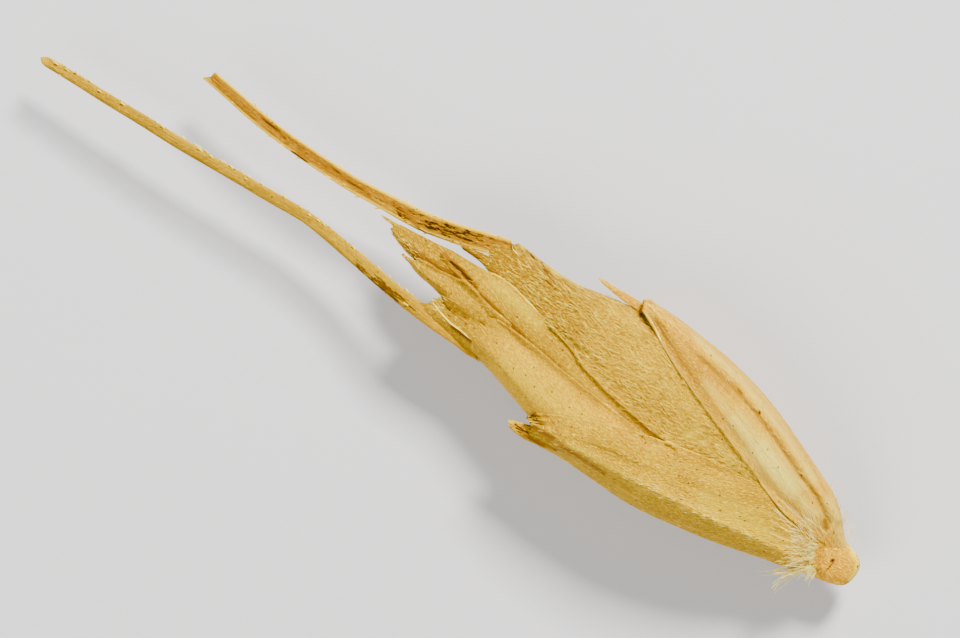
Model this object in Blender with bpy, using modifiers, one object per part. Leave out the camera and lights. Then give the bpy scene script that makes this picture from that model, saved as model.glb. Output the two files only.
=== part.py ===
"""One spikelet of awned wheat, lying on its broad side.

Two keeled glumes clasp two awned florets, each a lemma, a palea and a grain, and two
small upper florets show between the awns. A stub of the ear's stalk carries them all.

Y runs from the stalk to the awns, X across the broad side and Z up. The design values
are in millimetres, measured from the middle of the spikelet's foot. The finished model
is in metres, with its origin on the surface below the middle of its outline.
"""

import math

import bmesh
import bpy
import numpy as np
from mathutils import Vector

MM = 0.001

# Driving sizes, in millimetres
BLADE = 0.6          # thickness of a glume, lemma or palea
ROUNDNESS = 0.87     # 1 gives elliptic sections, less gives fuller ones
SAG = 0.10           # how fast a bract falls away inside its crown, per millimetre squared
KEEL_RISE = 0.22     # how far a glume's keel stands out
REST_PRESS = 0.2     # how much fuller the underside is before the surface flattens it
OPEN_SHARE = 0.68    # the most of a narrow bract's depth that its wall may fill

# Height of the middle plane above the surface, along the spikelet
MIDDLE = ((-1.4, 1.95), (3.0, 2.35), (7.0, 2.75), (10.0, 2.9), (24.0, 2.9), (35.0, 2.75), (46.0, 2.3))

# Each glume and lemma is a row of sections across the spikelet:
# (height, outer side, crown, front margin, back margin, depth from the middle plane)
LOWER_GLUME = (
    (1.3, -1.85, -0.95, -0.20, -0.25, 1.15),
    (3.0, -2.45, -1.15, -0.20, -0.25, 1.75),
    (5.0, -3.15, -1.45, 0.12, -0.30, 2.30),
    (7.0, -3.72, -1.65, 0.00, -0.50, 2.65),
    (8.5, -4.10, -1.80, -0.35, -0.80, 2.80),
    (10.0, -4.38, -1.95, -0.80, -1.20, 2.88),
    (12.0, -4.50, -2.15, -1.50, -1.90, 2.88),
    (13.5, -4.58, -2.40, -2.20, -2.50, 2.75),
    (15.0, -4.82, -2.70, -3.00, -3.20, 2.50),
    (16.3, -4.98, -3.00, -3.95, -4.10, 2.20),
)
UPPER_GLUME = (
    (1.3, 1.60, 0.90, 0.10, 0.15, 1.15),
    (3.0, 2.50, 1.15, 0.10, 0.20, 1.75),
    (5.0, 3.20, 1.45, 0.45, 0.30, 2.30),
    (7.0, 3.78, 1.70, 0.95, 0.50, 2.65),
    (9.0, 4.15, 1.90, 1.45, 0.90, 2.84),
    (11.0, 4.30, 2.10, 2.00, 1.50, 2.88),
    (13.0, 4.30, 2.30, 2.70, 2.30, 2.78),
    (14.3, 4.20, 2.50, 3.15, 3.00, 2.60),
    (15.3, 4.05, 2.60, 3.62, 3.60, 2.40),
)
FIRST_LEMMA = (
    (2.2, -1.15, -0.70, -0.35, -0.35, 0.75),
    (4.0, -2.00, -1.10, -0.50, -0.40, 1.20),
    (6.0, -2.63, -1.40, -0.80, -0.45, 1.65),
    (8.0, -3.12, -1.65, -1.10, -0.50, 1.93),
    (10.0, -3.48, -1.90, -1.35, -0.55, 2.05),
    (12.0, -3.66, -2.10, -1.50, -0.60, 2.05),
    (14.0, -3.85, -2.25, -1.55, -0.70, 1.86),
    (16.0, -3.98, -2.40, -1.55, -0.90, 1.70),
    (18.0, -3.60, -2.30, -1.42, -1.20, 1.55),
    (20.0, -3.30, -2.25, -1.32, -1.32, 1.40),
    (21.5, -3.40, -2.40, -1.60, -1.60, 1.20),
    (23.1, -3.56, -2.75, -2.00, -2.00, 0.95),
    (24.2, -3.60, -3.00, -2.50, -2.50, 0.75),
)
SECOND_LEMMA = (
    (2.2, 1.20, 0.75, 0.35, 0.35, 0.75),
    (4.0, 2.03, 1.10, 0.20, 0.30, 1.20),
    (6.0, 2.66, 1.35, 0.00, 0.20, 1.65),
    (8.0, 3.12, 1.50, -0.30, 0.10, 1.93),
    (10.0, 3.38, 1.55, -0.75, 0.05, 2.05),
    (12.0, 3.46, 1.50, -0.82, 0.05, 2.05),
    (14.0, 3.38, 1.50, -0.70, 0.05, 1.86),
    (15.5, 3.28, 1.45, -0.45, 0.10, 1.74),
    (17.0, 2.92, 1.38, 0.00, 0.20, 1.65),
    (18.5, 2.52, 1.35, 0.25, 0.30, 1.52),
    (20.0, 2.38, 1.35, 0.45, 0.45, 1.40),
    (21.5, 2.38, 1.45, 0.50, 0.50, 1.20),
    (22.8, 2.22, 1.55, 0.62, 0.62, 0.95),
    (23.8, 1.85, 1.30, 0.72, 0.72, 0.70),
)
THIRD_LEMMA = (
    (13.0, -0.95, -0.70, -0.38, -0.38, 0.52),
    (15.0, -1.10, -0.80, -0.50, -0.50, 0.50),
    (17.0, -1.20, -0.92, -0.62, -0.62, 0.50),
    (19.0, -1.38, -1.10, -0.82, -0.82, 0.52),
    (20.8, -1.62, -1.25, -0.88, -0.88, 0.58),
    (22.6, -1.88, -1.40, -0.90, -0.90, 0.85),
    (24.5, -1.90, -1.50, -1.12, -1.12, 0.80),
    (25.9, -1.62, -1.42, -1.28, -1.28, 0.45),
)
FOURTH_LEMMA = (
    (13.0, 0.40, 0.18, -0.05, -0.05, 0.45),
    (15.0, 0.38, 0.12, -0.18, -0.18, 0.45),
    (17.0, 0.28, 0.00, -0.32, -0.32, 0.48),
    (18.5, 0.10, -0.15, -0.50, -0.50, 0.72),
    (20.0, 0.18, -0.15, -0.60, -0.60, 1.10),
    (21.5, 0.24, -0.12, -0.62, -0.62, 1.15),
    (23.0, 0.14, -0.18, -0.62, -0.62, 1.00),
    (25.0, -0.10, -0.42, -0.88, -0.88, 0.75),
    (26.4, -0.36, -0.62, -1.02, -1.02, 0.52),
    (27.1, -0.52, -0.68, -0.90, -0.90, 0.38),
)

# Where a glume's keel runs: (height, x)
LOWER_KEEL = ((1.3, -1.35), (5.0, -2.05), (8.5, -2.70), (12.0, -3.50), (16.3, -4.62))
UPPER_KEEL = ((1.3, 1.30), (5.0, 2.62), (9.0, 3.50), (13.0, 3.85), (15.3, 3.82))

# Height of a bract's ragged top: (share of the way from front margin to back margin, height)
LOWER_TOP = ((0.0, 15.3), (0.12, 16.2), (0.25, 15.8), (0.5, 16.1), (0.8, 15.6), (1.0, 14.6))
UPPER_TOP = ((0.0, 14.6), (0.12, 15.2), (0.5, 15.1), (0.8, 15.2), (1.0, 14.2))
FIRST_TOP = ((0.0, 23.0), (0.12, 23.6), (0.3, 24.1), (0.5, 24.2), (0.7, 24.0), (1.0, 22.6))
SECOND_TOP = ((0.0, 23.6), (0.15, 22.6), (0.3, 22.2), (0.5, 22.6), (0.75, 23.0), (1.0, 22.4))
THIRD_TOP = ((0.0, 25.0), (0.2, 25.4), (0.4, 25.9), (0.6, 25.6), (1.0, 24.6))
FOURTH_TOP = ((0.0, 26.3), (0.15, 26.8), (0.35, 26.9), (0.5, 27.1), (0.7, 26.9), (1.0, 25.9))

# A palea stands on edge between its grain and the next floret: (height, x, half its depth)
FIRST_PALEA = (
    (3.6, -0.74, 0.32), (6.0, -0.50, 0.70), (9.0, -0.48, 0.78), (11.0, -0.66, 0.78),
    (13.0, -1.45, 0.92), (15.0, -2.10, 0.82), (17.0, -2.40, 0.70), (18.6, -2.32, 0.55),
)
SECOND_PALEA = (
    (3.6, 0.74, 0.32), (6.0, 0.50, 0.70), (9.0, 0.48, 1.00), (11.0, 0.62, 1.04),
    (13.0, 1.00, 1.00), (15.0, 1.14, 0.86), (17.0, 1.16, 0.70), (18.6, 1.04, 0.55),
)
PALEA_BOW = 0.16     # how far a palea's middle bulges away from its grain

# What runs on beyond a keel, as (height, x, width) along its middle
FIRST_AWN = (
    (18.6, -3.00, 0.50), (20.0, -3.02, 0.62), (22.0, -3.12, 0.76), (24.0, -3.22, 0.78),
    (26.0, -3.15, 0.72), (28.0, -3.06, 0.66), (29.5, -3.01, 0.63), (30.7, -3.02, 0.62),
    (31.7, -3.14, 0.60), (33.0, -3.33, 0.59), (36.0, -3.73, 0.59), (39.0, -4.16, 0.58),
    (42.0, -4.47, 0.56), (45.8, -4.88, 0.50),
)
SECOND_AWN = (
    (20.4, 1.92, 0.60), (22.0, 1.72, 0.95), (24.0, 1.06, 1.04), (26.0, 0.50, 0.98),
    (28.0, 0.02, 0.88), (30.0, -0.36, 0.80), (32.0, -0.54, 0.77), (34.0, -0.62, 0.75),
    (36.0, -0.61, 0.73), (38.7, -0.52, 0.70),
)
LOWER_BEAK = ((14.0, -4.22, 0.50), (15.4, -4.55, 0.56), (16.2, -4.75, 0.42), (16.9, -4.86, 0.22))
UPPER_BEAK = ((13.6, 3.66, 0.46), (15.0, 3.58, 0.42), (16.0, 3.50, 0.38), (17.6, 3.45, 0.10))
FOURTH_TIP = ((25.6, -0.48, 0.40), (26.6, -0.58, 0.34), (27.2, -0.62, 0.22), (27.95, -0.67, 0.08))
AWN_DEPTH = 0.78     # an awn's or a beak's depth over its width
GROOVE = 0.22        # depth of the groove along an awn's upper face, over its width
LOWER_BEAK_LIFT = 1.15   # how far above the middle plane each beak runs
UPPER_BEAK_LIFT = 0.55

# The stub of stalk, then its branch between the florets: (height, x, half width, half depth)
RACHIS = (
    (-1.32, -0.34, 0.30, 0.24), (-1.18, -0.34, 0.66, 0.50), (-0.80, -0.34, 0.92, 0.70),
    (-0.20, -0.36, 1.10, 0.82), (0.45, -0.34, 1.28, 0.92), (0.90, -0.22, 1.56, 1.06),
    (1.05, -0.18, 1.40, 0.98), (1.20, -0.14, 0.72, 0.44), (2.00, -0.05, 0.36, 0.34),
    (3.20, 0.00, 0.22, 0.30), (4.60, 0.00, 0.14, 0.22), (5.00, 0.00, 0.08, 0.10),
)

# Grains: middle height, half length, half width, half depth, and where each lies as (height, x)
GRAIN_SIZE = (9.2, 3.5, 0.70, 1.08)
FIRST_GRAIN = ((5.7, -1.36), (8.0, -1.64), (9.2, -1.76), (12.7, -2.30))
SECOND_GRAIN = ((5.7, 1.36), (8.0, 1.62), (9.2, 1.72), (12.7, 1.98))
CREASE_DEPTH = 0.30  # how deep the crease in a grain's inner side is
CREASE_WIDTH = 0.30

# Materials: colour, roughness
GLUME_STRAW = ((0.80, 0.60, 0.26), 0.55)
LEMMA_STRAW = ((0.76, 0.56, 0.22), 0.60)
PALEA_STRAW = ((0.86, 0.72, 0.40), 0.50)
GRAIN_AMBER = ((0.62, 0.36, 0.13), 0.40)
STALK_STRAW = ((0.82, 0.58, 0.24), 0.60)


def smooth_through(points):
    """A curve y(x) through the points that never overshoots them, as a function."""
    x, y = (np.array(column, float) for column in zip(*points))
    step = np.diff(x)
    slope = np.diff(y) / step
    tangent = np.concatenate([slope[:1], np.zeros(len(x) - 2), slope[-1:]])
    for i in range(1, len(x) - 1):
        if slope[i - 1] * slope[i] > 0:
            before, after = 2 * step[i] + step[i - 1], step[i] + 2 * step[i - 1]
            tangent[i] = (before + after) / (before / slope[i - 1] + after / slope[i])

    def curve(at):
        at = min(max(at, x[0]), x[-1])
        i = min(max(int(np.searchsorted(x, at)) - 1, 0), len(x) - 2)
        t = (at - x[i]) / step[i]
        ends = y[i] * (1 + 2 * t) * (1 - t) ** 2 + y[i + 1] * t * t * (3 - 2 * t)
        return ends + step[i] * t * (1 - t) * (tangent[i] * (1 - t) - tangent[i + 1] * t)

    return curve


def column(stations, index):
    """One measure of the stations as a smooth function of height."""
    return smooth_through([(row[0], row[index]) for row in stations])


middle = smooth_through(MIDDLE)


def half_section(outer, crown, margin, depth):
    """(x, z) from the outer side, over the crown and down to the margin, closely spaced."""
    inward = math.copysign(1.0, crown - outer)
    turn = np.linspace(math.pi / 2, 0.0, 33)
    x = crown + (outer - crown) * np.sin(turn) ** ROUNDNESS
    z = depth * np.cos(turn) ** ROUNDNESS
    beyond = np.linspace(0.0, max((margin - crown) * inward, 0.0) + 0.01, 17)[1:]
    x = np.append(x, crown + inward * beyond)
    z = np.append(z, depth - SAG * beyond**2)
    across = (x - outer) * inward
    end = (margin - outer) * inward
    kept = across < end - 1e-6
    x = np.append(x[kept], margin)
    z = np.append(z[kept], np.interp(end, across, z))
    return x, z


def spread(x, z, count, start=0.0, end=1.0):
    """count + 1 points at equal steps along the line, between two shares of its length."""
    along = np.concatenate([[0.0], np.cumsum(np.hypot(np.diff(x), np.diff(z)))])
    at = np.linspace(start, end, count + 1) * along[-1]
    return np.interp(at, along, x), np.interp(at, along, z)


def share_at(x, z, place):
    """The share of the line's length at which it passes x = place."""
    along = np.concatenate([[0.0], np.cumsum(np.hypot(np.diff(x), np.diff(z)))])
    order = np.argsort(x)
    return float(np.interp(place, x[order], along[order])) / along[-1]


def bract_section(measures, keel, height, front_count, back_count):
    """One section's points from front margin to back margin, as (x, z from the middle plane)."""
    outer, crown, front, back, depth = (measure(height) for measure in measures)
    x, z = half_section(outer, crown, front, depth)
    if keel:
        split = min(max(share_at(x, z, keel(height)), 0.15), 0.6)
        low_x, low_z = spread(x, z, 2, 0.0, split)
        high_x, high_z = spread(x, z, front_count - 2, split, 1.0)
        high_x[0] += KEEL_RISE * 0.4 * math.copysign(1.0, outer)
        high_z[0] += KEEL_RISE
        x, z = np.append(low_x[:-1], high_x), np.append(low_z[:-1], high_z)
    else:
        x, z = spread(x, z, front_count)
    fuller = depth + (REST_PRESS if keel else 0.0)
    back_x, back_z = spread(*half_section(outer, crown, back, fuller), back_count)
    return np.append(x[::-1], back_x[1:]), np.append(z[::-1], -back_z[1:])


def sheet_object(name, points, flip, walls):
    """An open sheet through a grid of points in millimetres, given its thickness by Solidify."""
    rows, columns = len(points), len(points[0])
    mesh = bpy.data.meshes.new(name)
    bm = bmesh.new()
    grid = [[bm.verts.new(Vector(p) * MM) for p in row] for row in points]
    for r in range(rows - 1):
        for c in range(columns - 1):
            corners = [grid[r][c], grid[r][c + 1], grid[r + 1][c + 1], grid[r + 1][c]]
            bm.faces.new(corners if flip else corners[::-1])
    bm.to_mesh(mesh)
    bm.free()
    obj = bpy.data.objects.new(name, mesh)
    group = obj.vertex_groups.new(name="wall")
    for index, share in enumerate(share for row in walls for share in row):
        group.add([index], share, "REPLACE")
    solidify = obj.modifiers.new("thickness", "SOLIDIFY")
    solidify.thickness = BLADE * MM
    solidify.offset = -1.0
    solidify.use_even_offset = True
    solidify.use_quality_normals = True
    solidify.vertex_group = "wall"
    return obj


def bract(name, stations, top, rows, front_count=6, back_count=6, keel=None):
    """A glume or lemma: a boat-shaped sheet round one side of the spikelet, with a ragged top."""
    measures = [column(stations, index) for index in range(1, 6)]
    keel = smooth_through(keel) if keel else None
    base = stations[0][0]
    last = front_count + back_count
    shares = np.linspace(0.0, 1.0, last + 1)
    tops = np.interp(shares, *zip(*top))
    points, walls = [], []
    for rise in np.linspace(0.0, 1.0, rows + 1):
        line, wall = [], []
        for index in range(last + 1):
            height = base + (tops[index] - base) * rise
            x, z = bract_section(measures, keel, height, front_count, back_count)
            lifted = max(middle(height) + z[index], 0.0)
            line.append((x[index], height, lifted))
            wall.append(min(1.0, OPEN_SHARE * measures[4](height) / BLADE))
        points.append(line)
        walls.append(wall)
    return sheet_object(name, points, flip=stations[0][1] > stations[0][3], walls=walls)


def palea(name, stations, side, rows=12, across=6):
    """A palea: a bowed strip standing on edge, hidden between its grain and the next floret."""
    place, reach = column(stations, 1), column(stations, 2)
    heights = np.linspace(stations[0][0], stations[-1][0], rows + 1)
    points = []
    for height in heights:
        line = []
        for share in np.linspace(1.0, -1.0, across + 1):
            x = place(height) - side * (BLADE / 2 + PALEA_BOW * (1 - share**2))
            line.append((x, height, middle(height) + share * reach(height)))
        points.append(line)
    walls = [[1.0] * (across + 1) for _ in heights]
    return sheet_object(name, points, flip=side < 0, walls=walls)


def spine_section(groove):
    """The outline that is swept along an awn or a beak, one unit wide, with a grooved top."""
    curve = bpy.data.curves.new("spine_section", "CURVE")
    curve.dimensions = "2D"
    spline = curve.splines.new("POLY")
    sides = 12
    spline.points.add(sides - 1)
    for index in range(sides):
        turn = 2 * math.pi * index / sides
        x, y = 0.5 * math.cos(turn), 0.5 * AWN_DEPTH * math.sin(turn)
        dip = groove * max(0.0, math.sin(turn)) ** 4
        spline.points[index].co = (x, y - dip, 0.0, 1.0)
    spline.use_cyclic_u = True
    return bpy.data.objects.new("spine_section", curve)


def spine(name, stations, tools, lift=0.0, groove=0.0, step=1.6):
    """What runs on from a keel, such as an awn: a tapered sweep, made a mesh so that it can be joined."""
    place, width = column(stations, 1), column(stations, 2)
    low, high = stations[0][0], stations[-1][0]
    heights = np.linspace(low, high, max(4, round((high - low) / step)) + 1)
    outline = spine_section(groove)
    tools.objects.link(outline)
    curve = bpy.data.curves.new(name, "CURVE")
    curve.dimensions = "3D"
    curve.twist_mode = "Z_UP"
    curve.bevel_mode = "OBJECT"
    curve.bevel_object = outline
    curve.use_fill_caps = True
    spline = curve.splines.new("POLY")
    spline.points.add(len(heights) - 1)
    for point, height in zip(spline.points, heights):
        spot = Vector((place(height), height, middle(height) + lift)) * MM
        point.co = (*spot, 1.0)
        point.radius = width(height) * MM
    swept = bpy.data.objects.new(name, curve)
    tools.objects.link(swept)
    bpy.context.view_layer.update()
    graph = bpy.context.evaluated_depsgraph_get()
    mesh = bpy.data.meshes.new_from_object(swept.evaluated_get(graph))
    bm = bmesh.new()
    bm.from_mesh(mesh)
    bmesh.ops.remove_doubles(bm, verts=bm.verts, dist=1e-6)
    bmesh.ops.recalc_face_normals(bm, faces=bm.faces)
    bm.to_mesh(mesh)
    bm.free()
    obj = bpy.data.objects.new(name, mesh)
    obj.matrix_world = swept.matrix_world
    for used in (swept, outline):
        bpy.data.objects.remove(used)
    tools.objects.link(obj)
    obj.hide_render = True
    obj.display_type = "WIRE"
    return obj


def join(obj, addition):
    """Grows the addition onto the object as one solid."""
    union = obj.modifiers.new("join", "BOOLEAN")
    union.operation = "UNION"
    union.object = addition
    union.solver = "EXACT"


def grain(name, course, side):
    """A slim grain, blunt at its foot, with the crease along its inner side."""
    height, half_length, half_width, half_depth = GRAIN_SIZE
    place = smooth_through(course)
    mesh = bpy.data.meshes.new(name)
    bm = bmesh.new()
    bmesh.ops.create_uvsphere(bm, u_segments=18, v_segments=12, radius=1.0)
    for vertex in bm.verts:
        across, deep, along = vertex.co
        slim = 1.0 - 0.06 * along
        crease = math.exp(-((deep / CREASE_WIDTH) ** 2)) * max(0.0, -side * across)
        y = height + along * half_length
        x = place(y) + across * half_width * slim + side * CREASE_DEPTH * crease * (1 - along**2)
        vertex.co = Vector((x, y, middle(y) + deep * half_depth * slim)) * MM
    bm.normal_update()
    bmesh.ops.recalc_face_normals(bm, faces=bm.faces)
    bm.to_mesh(mesh)
    bm.free()
    return bpy.data.objects.new(name, mesh)


def stalk(name, stations, sides=14):
    """The rachis stub and the rachilla that runs up between the florets, a loft of oval sections."""
    mesh = bpy.data.meshes.new(name)
    bm = bmesh.new()
    rings = []
    for height, x, half_width, half_depth in stations:
        ring = []
        for index in range(sides):
            turn = 2 * math.pi * index / sides
            spot = (x + half_width * math.cos(turn), height, middle(height) + half_depth * math.sin(turn))
            ring.append(bm.verts.new(Vector(spot) * MM))
        rings.append(ring)
    for low, high in zip(rings, rings[1:]):
        for index in range(sides):
            after = (index + 1) % sides
            bm.faces.new((low[index], low[after], high[after], high[index]))
    bm.faces.new(rings[0])
    bm.faces.new(rings[-1])
    bmesh.ops.recalc_face_normals(bm, faces=bm.faces)
    bm.to_mesh(mesh)
    bm.free()
    return bpy.data.objects.new(name, mesh)


def dry_material(name, colour, roughness):
    material = bpy.data.materials.new(name)
    material.use_nodes = True
    shader = material.node_tree.nodes["Principled BSDF"]
    shader.inputs["Base Color"].default_value = (*colour, 1.0)
    shader.inputs["Roughness"].default_value = roughness
    shader.inputs["Metallic"].default_value = 0.0
    material.diffuse_color = (*colour, 1.0)
    return material


def finish(obj, material, collection, parent):
    """Puts the piece in its collection, under the spikelet's empty, with its material."""
    obj.data.materials.append(material)
    obj.data.shade_smooth()
    collection.objects.link(obj)
    obj.parent = parent


def outline_of(objects):
    """Lowest and highest corners of the evaluated pieces, in metres."""
    bpy.context.view_layer.update()
    graph = bpy.context.evaluated_depsgraph_get()
    corners = [
        obj.matrix_world @ Vector(corner)
        for obj in objects
        for corner in obj.evaluated_get(graph).bound_box
    ]
    low = Vector([min(corner[axis] for corner in corners) for axis in range(3)])
    high = Vector([max(corner[axis] for corner in corners) for axis in range(3)])
    return low, high


def main():
    for old in list(bpy.data.objects):
        bpy.data.objects.remove(old)
    spikelet = bpy.data.collections.new("wheat_spikelet")
    tools = bpy.data.collections.new("joined_in")
    for collection in (spikelet, tools):
        bpy.context.scene.collection.children.link(collection)
    foot = bpy.data.objects.new("foot", None)
    spikelet.objects.link(foot)

    glume_straw = dry_material("glume_straw", *GLUME_STRAW)
    lemma_straw = dry_material("lemma_straw", *LEMMA_STRAW)
    palea_straw = dry_material("palea_straw", *PALEA_STRAW)
    grain_amber = dry_material("grain_amber", *GRAIN_AMBER)
    stalk_straw = dry_material("stalk_straw", *STALK_STRAW)

    lower_glume = bract("lower_glume", LOWER_GLUME, LOWER_TOP, rows=18, keel=LOWER_KEEL)
    upper_glume = bract("upper_glume", UPPER_GLUME, UPPER_TOP, rows=18, keel=UPPER_KEEL)
    first_lemma = bract("first_lemma", FIRST_LEMMA, FIRST_TOP, rows=22)
    second_lemma = bract("second_lemma", SECOND_LEMMA, SECOND_TOP, rows=22)
    third_lemma = bract("third_lemma", THIRD_LEMMA, THIRD_TOP, rows=14, front_count=4, back_count=4)
    fourth_lemma = bract("fourth_lemma", FOURTH_LEMMA, FOURTH_TOP, rows=16, front_count=4, back_count=4)

    join(lower_glume, spine("lower_beak", LOWER_BEAK, tools, lift=LOWER_BEAK_LIFT, step=0.8))
    join(upper_glume, spine("upper_beak", UPPER_BEAK, tools, lift=UPPER_BEAK_LIFT, step=0.8))
    join(first_lemma, spine("first_awn", FIRST_AWN, tools))
    join(second_lemma, spine("second_awn", SECOND_AWN, tools, groove=GROOVE))
    join(fourth_lemma, spine("fourth_tip", FOURTH_TIP, tools, step=0.6))

    pieces = [
        (stalk("rachis", RACHIS), stalk_straw),
        (lower_glume, glume_straw),
        (upper_glume, glume_straw),
        (first_lemma, lemma_straw),
        (second_lemma, lemma_straw),
        (third_lemma, lemma_straw),
        (fourth_lemma, lemma_straw),
        (palea("first_palea", FIRST_PALEA, side=-1), palea_straw),
        (palea("second_palea", SECOND_PALEA, side=1), palea_straw),
        (grain("first_grain", FIRST_GRAIN, side=-1), grain_amber),
        (grain("second_grain", SECOND_GRAIN, side=1), grain_amber),
    ]
    for obj, material in pieces:
        finish(obj, material, spikelet, foot)
    for addition in tools.objects:
        addition.parent = foot
    low, high = outline_of([obj for obj, _ in pieces])
    foot.location = (-(low.x + high.x) / 2, -(low.y + high.y) / 2, 0.0)


main()
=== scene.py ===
"""Dry awned wheat spikelet, lying on its broad side and seen from above.

Every measure below is in millimetres, taken from the middle of the spikelet's foot: X
across, Y from the stalk to the awn tips, Z up from the surface it lies on.
"""

import math
from types import SimpleNamespace

import bmesh
import bpy
import numpy as np
from mathutils import Matrix, Vector
from mathutils.bvhtree import BVHTree


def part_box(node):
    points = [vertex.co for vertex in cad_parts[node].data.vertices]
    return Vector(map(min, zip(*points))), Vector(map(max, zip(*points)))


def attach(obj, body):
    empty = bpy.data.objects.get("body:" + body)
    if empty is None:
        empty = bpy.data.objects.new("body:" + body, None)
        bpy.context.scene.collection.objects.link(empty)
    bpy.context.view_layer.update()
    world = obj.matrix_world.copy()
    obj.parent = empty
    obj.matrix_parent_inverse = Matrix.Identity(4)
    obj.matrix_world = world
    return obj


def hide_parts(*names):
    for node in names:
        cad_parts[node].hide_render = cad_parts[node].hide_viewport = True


MM = 0.001

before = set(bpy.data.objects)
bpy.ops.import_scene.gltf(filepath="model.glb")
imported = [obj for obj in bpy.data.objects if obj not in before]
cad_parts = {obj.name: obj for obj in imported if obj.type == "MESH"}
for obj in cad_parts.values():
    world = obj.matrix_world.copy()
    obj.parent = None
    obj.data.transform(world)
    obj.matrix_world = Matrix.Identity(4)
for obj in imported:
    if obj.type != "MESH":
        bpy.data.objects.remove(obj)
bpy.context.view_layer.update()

# The foot of the spikelet in the part's own frame, found from two solids that end at known places
FOOT = np.array([
    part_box("upper_glume")[1][0] / MM - 4.30,
    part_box("rachis")[0][1] / MM + 1.32,
    0.0,
])

ROUNDNESS = 0.87     # of a bract's section: 1 is an ellipse, less is fuller
CHAFF = 0.13         # thickness of a bract
REST_PRESS = 0.2     # how much fuller a glume's underside is before the surface flattens it
BARE_MARGIN = 0.02   # how far a thin edge sinks into the margin that it follows
AWN_FOOT = 24.0      # the height from which the awns stand clear of their lemmas
SECTION_STEPS = 160  # heights at which a bract's section is worked out
ROUND_STEPS = 41     # points from a section's outer side to its crown
SAG_STEPS = 31       # points from the crown to beyond the margin
ABOVE_ALL = 20.0     # a height above the whole spikelet
RIPPLE_SIZE = 1.6    # brings a sum of waves to about -1 to 1
RELIEF = 0.00026     # height of the chaff's fine relief, in metres
FULL_TURN = 2 * math.pi
DRAWN_TURN = 6.283   # the span of a turn that is drawn at random

# The camera, and the directions towards the top and the right of its picture
PICTURE_UP = Vector((0.788, 0.616, 0.0))
PICTURE_RIGHT = Vector((0.616, -0.788, 0.0))
PICTURE_MIDDLE = Vector((-1.70, 20.96, 0.0))
LENS = 200.0
SENSOR = 36.0
CAMERA_HEIGHT = 0.2639

# Light, in metres and watts
WORLD_STRENGTH = 0.32
WORLD_TINT = (1.0, 0.99, 0.97, 1.0)
LAMP_TINT = (1.0, 0.97, 0.92)
LAMPS = (
    # name, towards the picture's top, its right and the camera, size, power
    ("key", 0.25, 0.14, 0.25, 0.09, 4.9),
    ("fill", -0.20, -0.22, 0.28, 0.30, 2.2),
)
FLOOR_REACH = 0.6
FLOOR_TONES = ((196, 196, 200), (200, 200, 204))

# Tones that the chaff finishes share
AMBER = (146, 94, 1)
BROWN = (78, 42, 3)
CREAM = (255, 226, 12)
OLIVE = (176, 136, 3)
ROOT_GOLD = (220, 157, 1)
ROOT_AMBER = (186, 108, 1)
SPECK_BROWN = (84, 44, 10)

# Height of the middle plane above the surface, along the spikelet
MIDDLE = ((-1.4, 1.95), (3.0, 2.35), (7.0, 2.75), (10.0, 2.9), (24.0, 2.9), (35.0, 2.75), (46.0, 2.3))

# Sections of each bract: (height, outer side, crown, front margin, back margin, depth, sag)
LOWER_GLUME = (
    (-0.20, -1.22, -0.80, -0.10, -0.25, 0.45, 0.10),
    (0.25, -1.46, -0.88, -0.10, -0.25, 0.74, 0.10),
    (0.70, -1.64, -0.93, 0.05, -0.25, 0.96, 0.10),
    (1.15, -1.84, -0.95, 0.20, -0.25, 1.14, 0.10),
    (3.0, -2.45, -1.15, 0.30, -0.25, 1.75, 0.13),
    (5.0, -3.15, -1.45, 0.46, -0.30, 2.30, 0.13),
    (6.0, -3.45, -1.55, 0.22, -0.40, 2.50, 0.13),
    (7.0, -3.72, -1.65, 0.02, -0.50, 2.65, 0.13),
    (8.5, -4.10, -1.80, -0.35, -0.80, 2.80, 0.14),
    (10.0, -4.38, -1.95, -0.80, -1.20, 2.88, 0.16),
    (12.0, -4.50, -2.15, -1.50, -1.90, 2.88, 0.20),
    (13.5, -4.58, -2.40, -2.20, -2.50, 2.75, 0.20),
    (15.0, -4.82, -2.70, -3.00, -3.20, 2.40, 0.20),
    (16.4, -4.98, -3.00, -3.95, -4.10, 1.95, 0.20),
)
UPPER_GLUME = (
    (-0.20, 0.60, 0.30, -0.10, 0.05, 0.45, 0.10),
    (0.25, 0.86, 0.44, -0.05, 0.10, 0.74, 0.10),
    (0.70, 1.24, 0.68, -0.02, 0.12, 0.96, 0.10),
    (1.15, 1.66, 0.90, 0.00, 0.15, 1.14, 0.10),
    (2.0, 2.20, 1.05, 0.00, 0.18, 1.45, 0.08),
    (3.0, 2.56, 1.15, -0.05, 0.20, 1.75, 0.08),
    (5.0, 3.20, 1.45, 0.36, 0.30, 2.30, 0.10),
    (7.0, 3.78, 1.70, 0.90, 0.50, 2.65, 0.16),
    (9.0, 4.15, 1.90, 1.42, 0.90, 2.84, 0.18),
    (11.0, 4.30, 2.10, 2.00, 1.50, 2.88, 0.20),
    (13.0, 4.30, 2.30, 2.70, 2.30, 2.66, 0.20),
    (14.4, 4.20, 2.50, 3.36, 3.00, 2.25, 0.20),
    (15.4, 4.05, 2.60, 3.62, 3.60, 1.90, 0.20),
)
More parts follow.
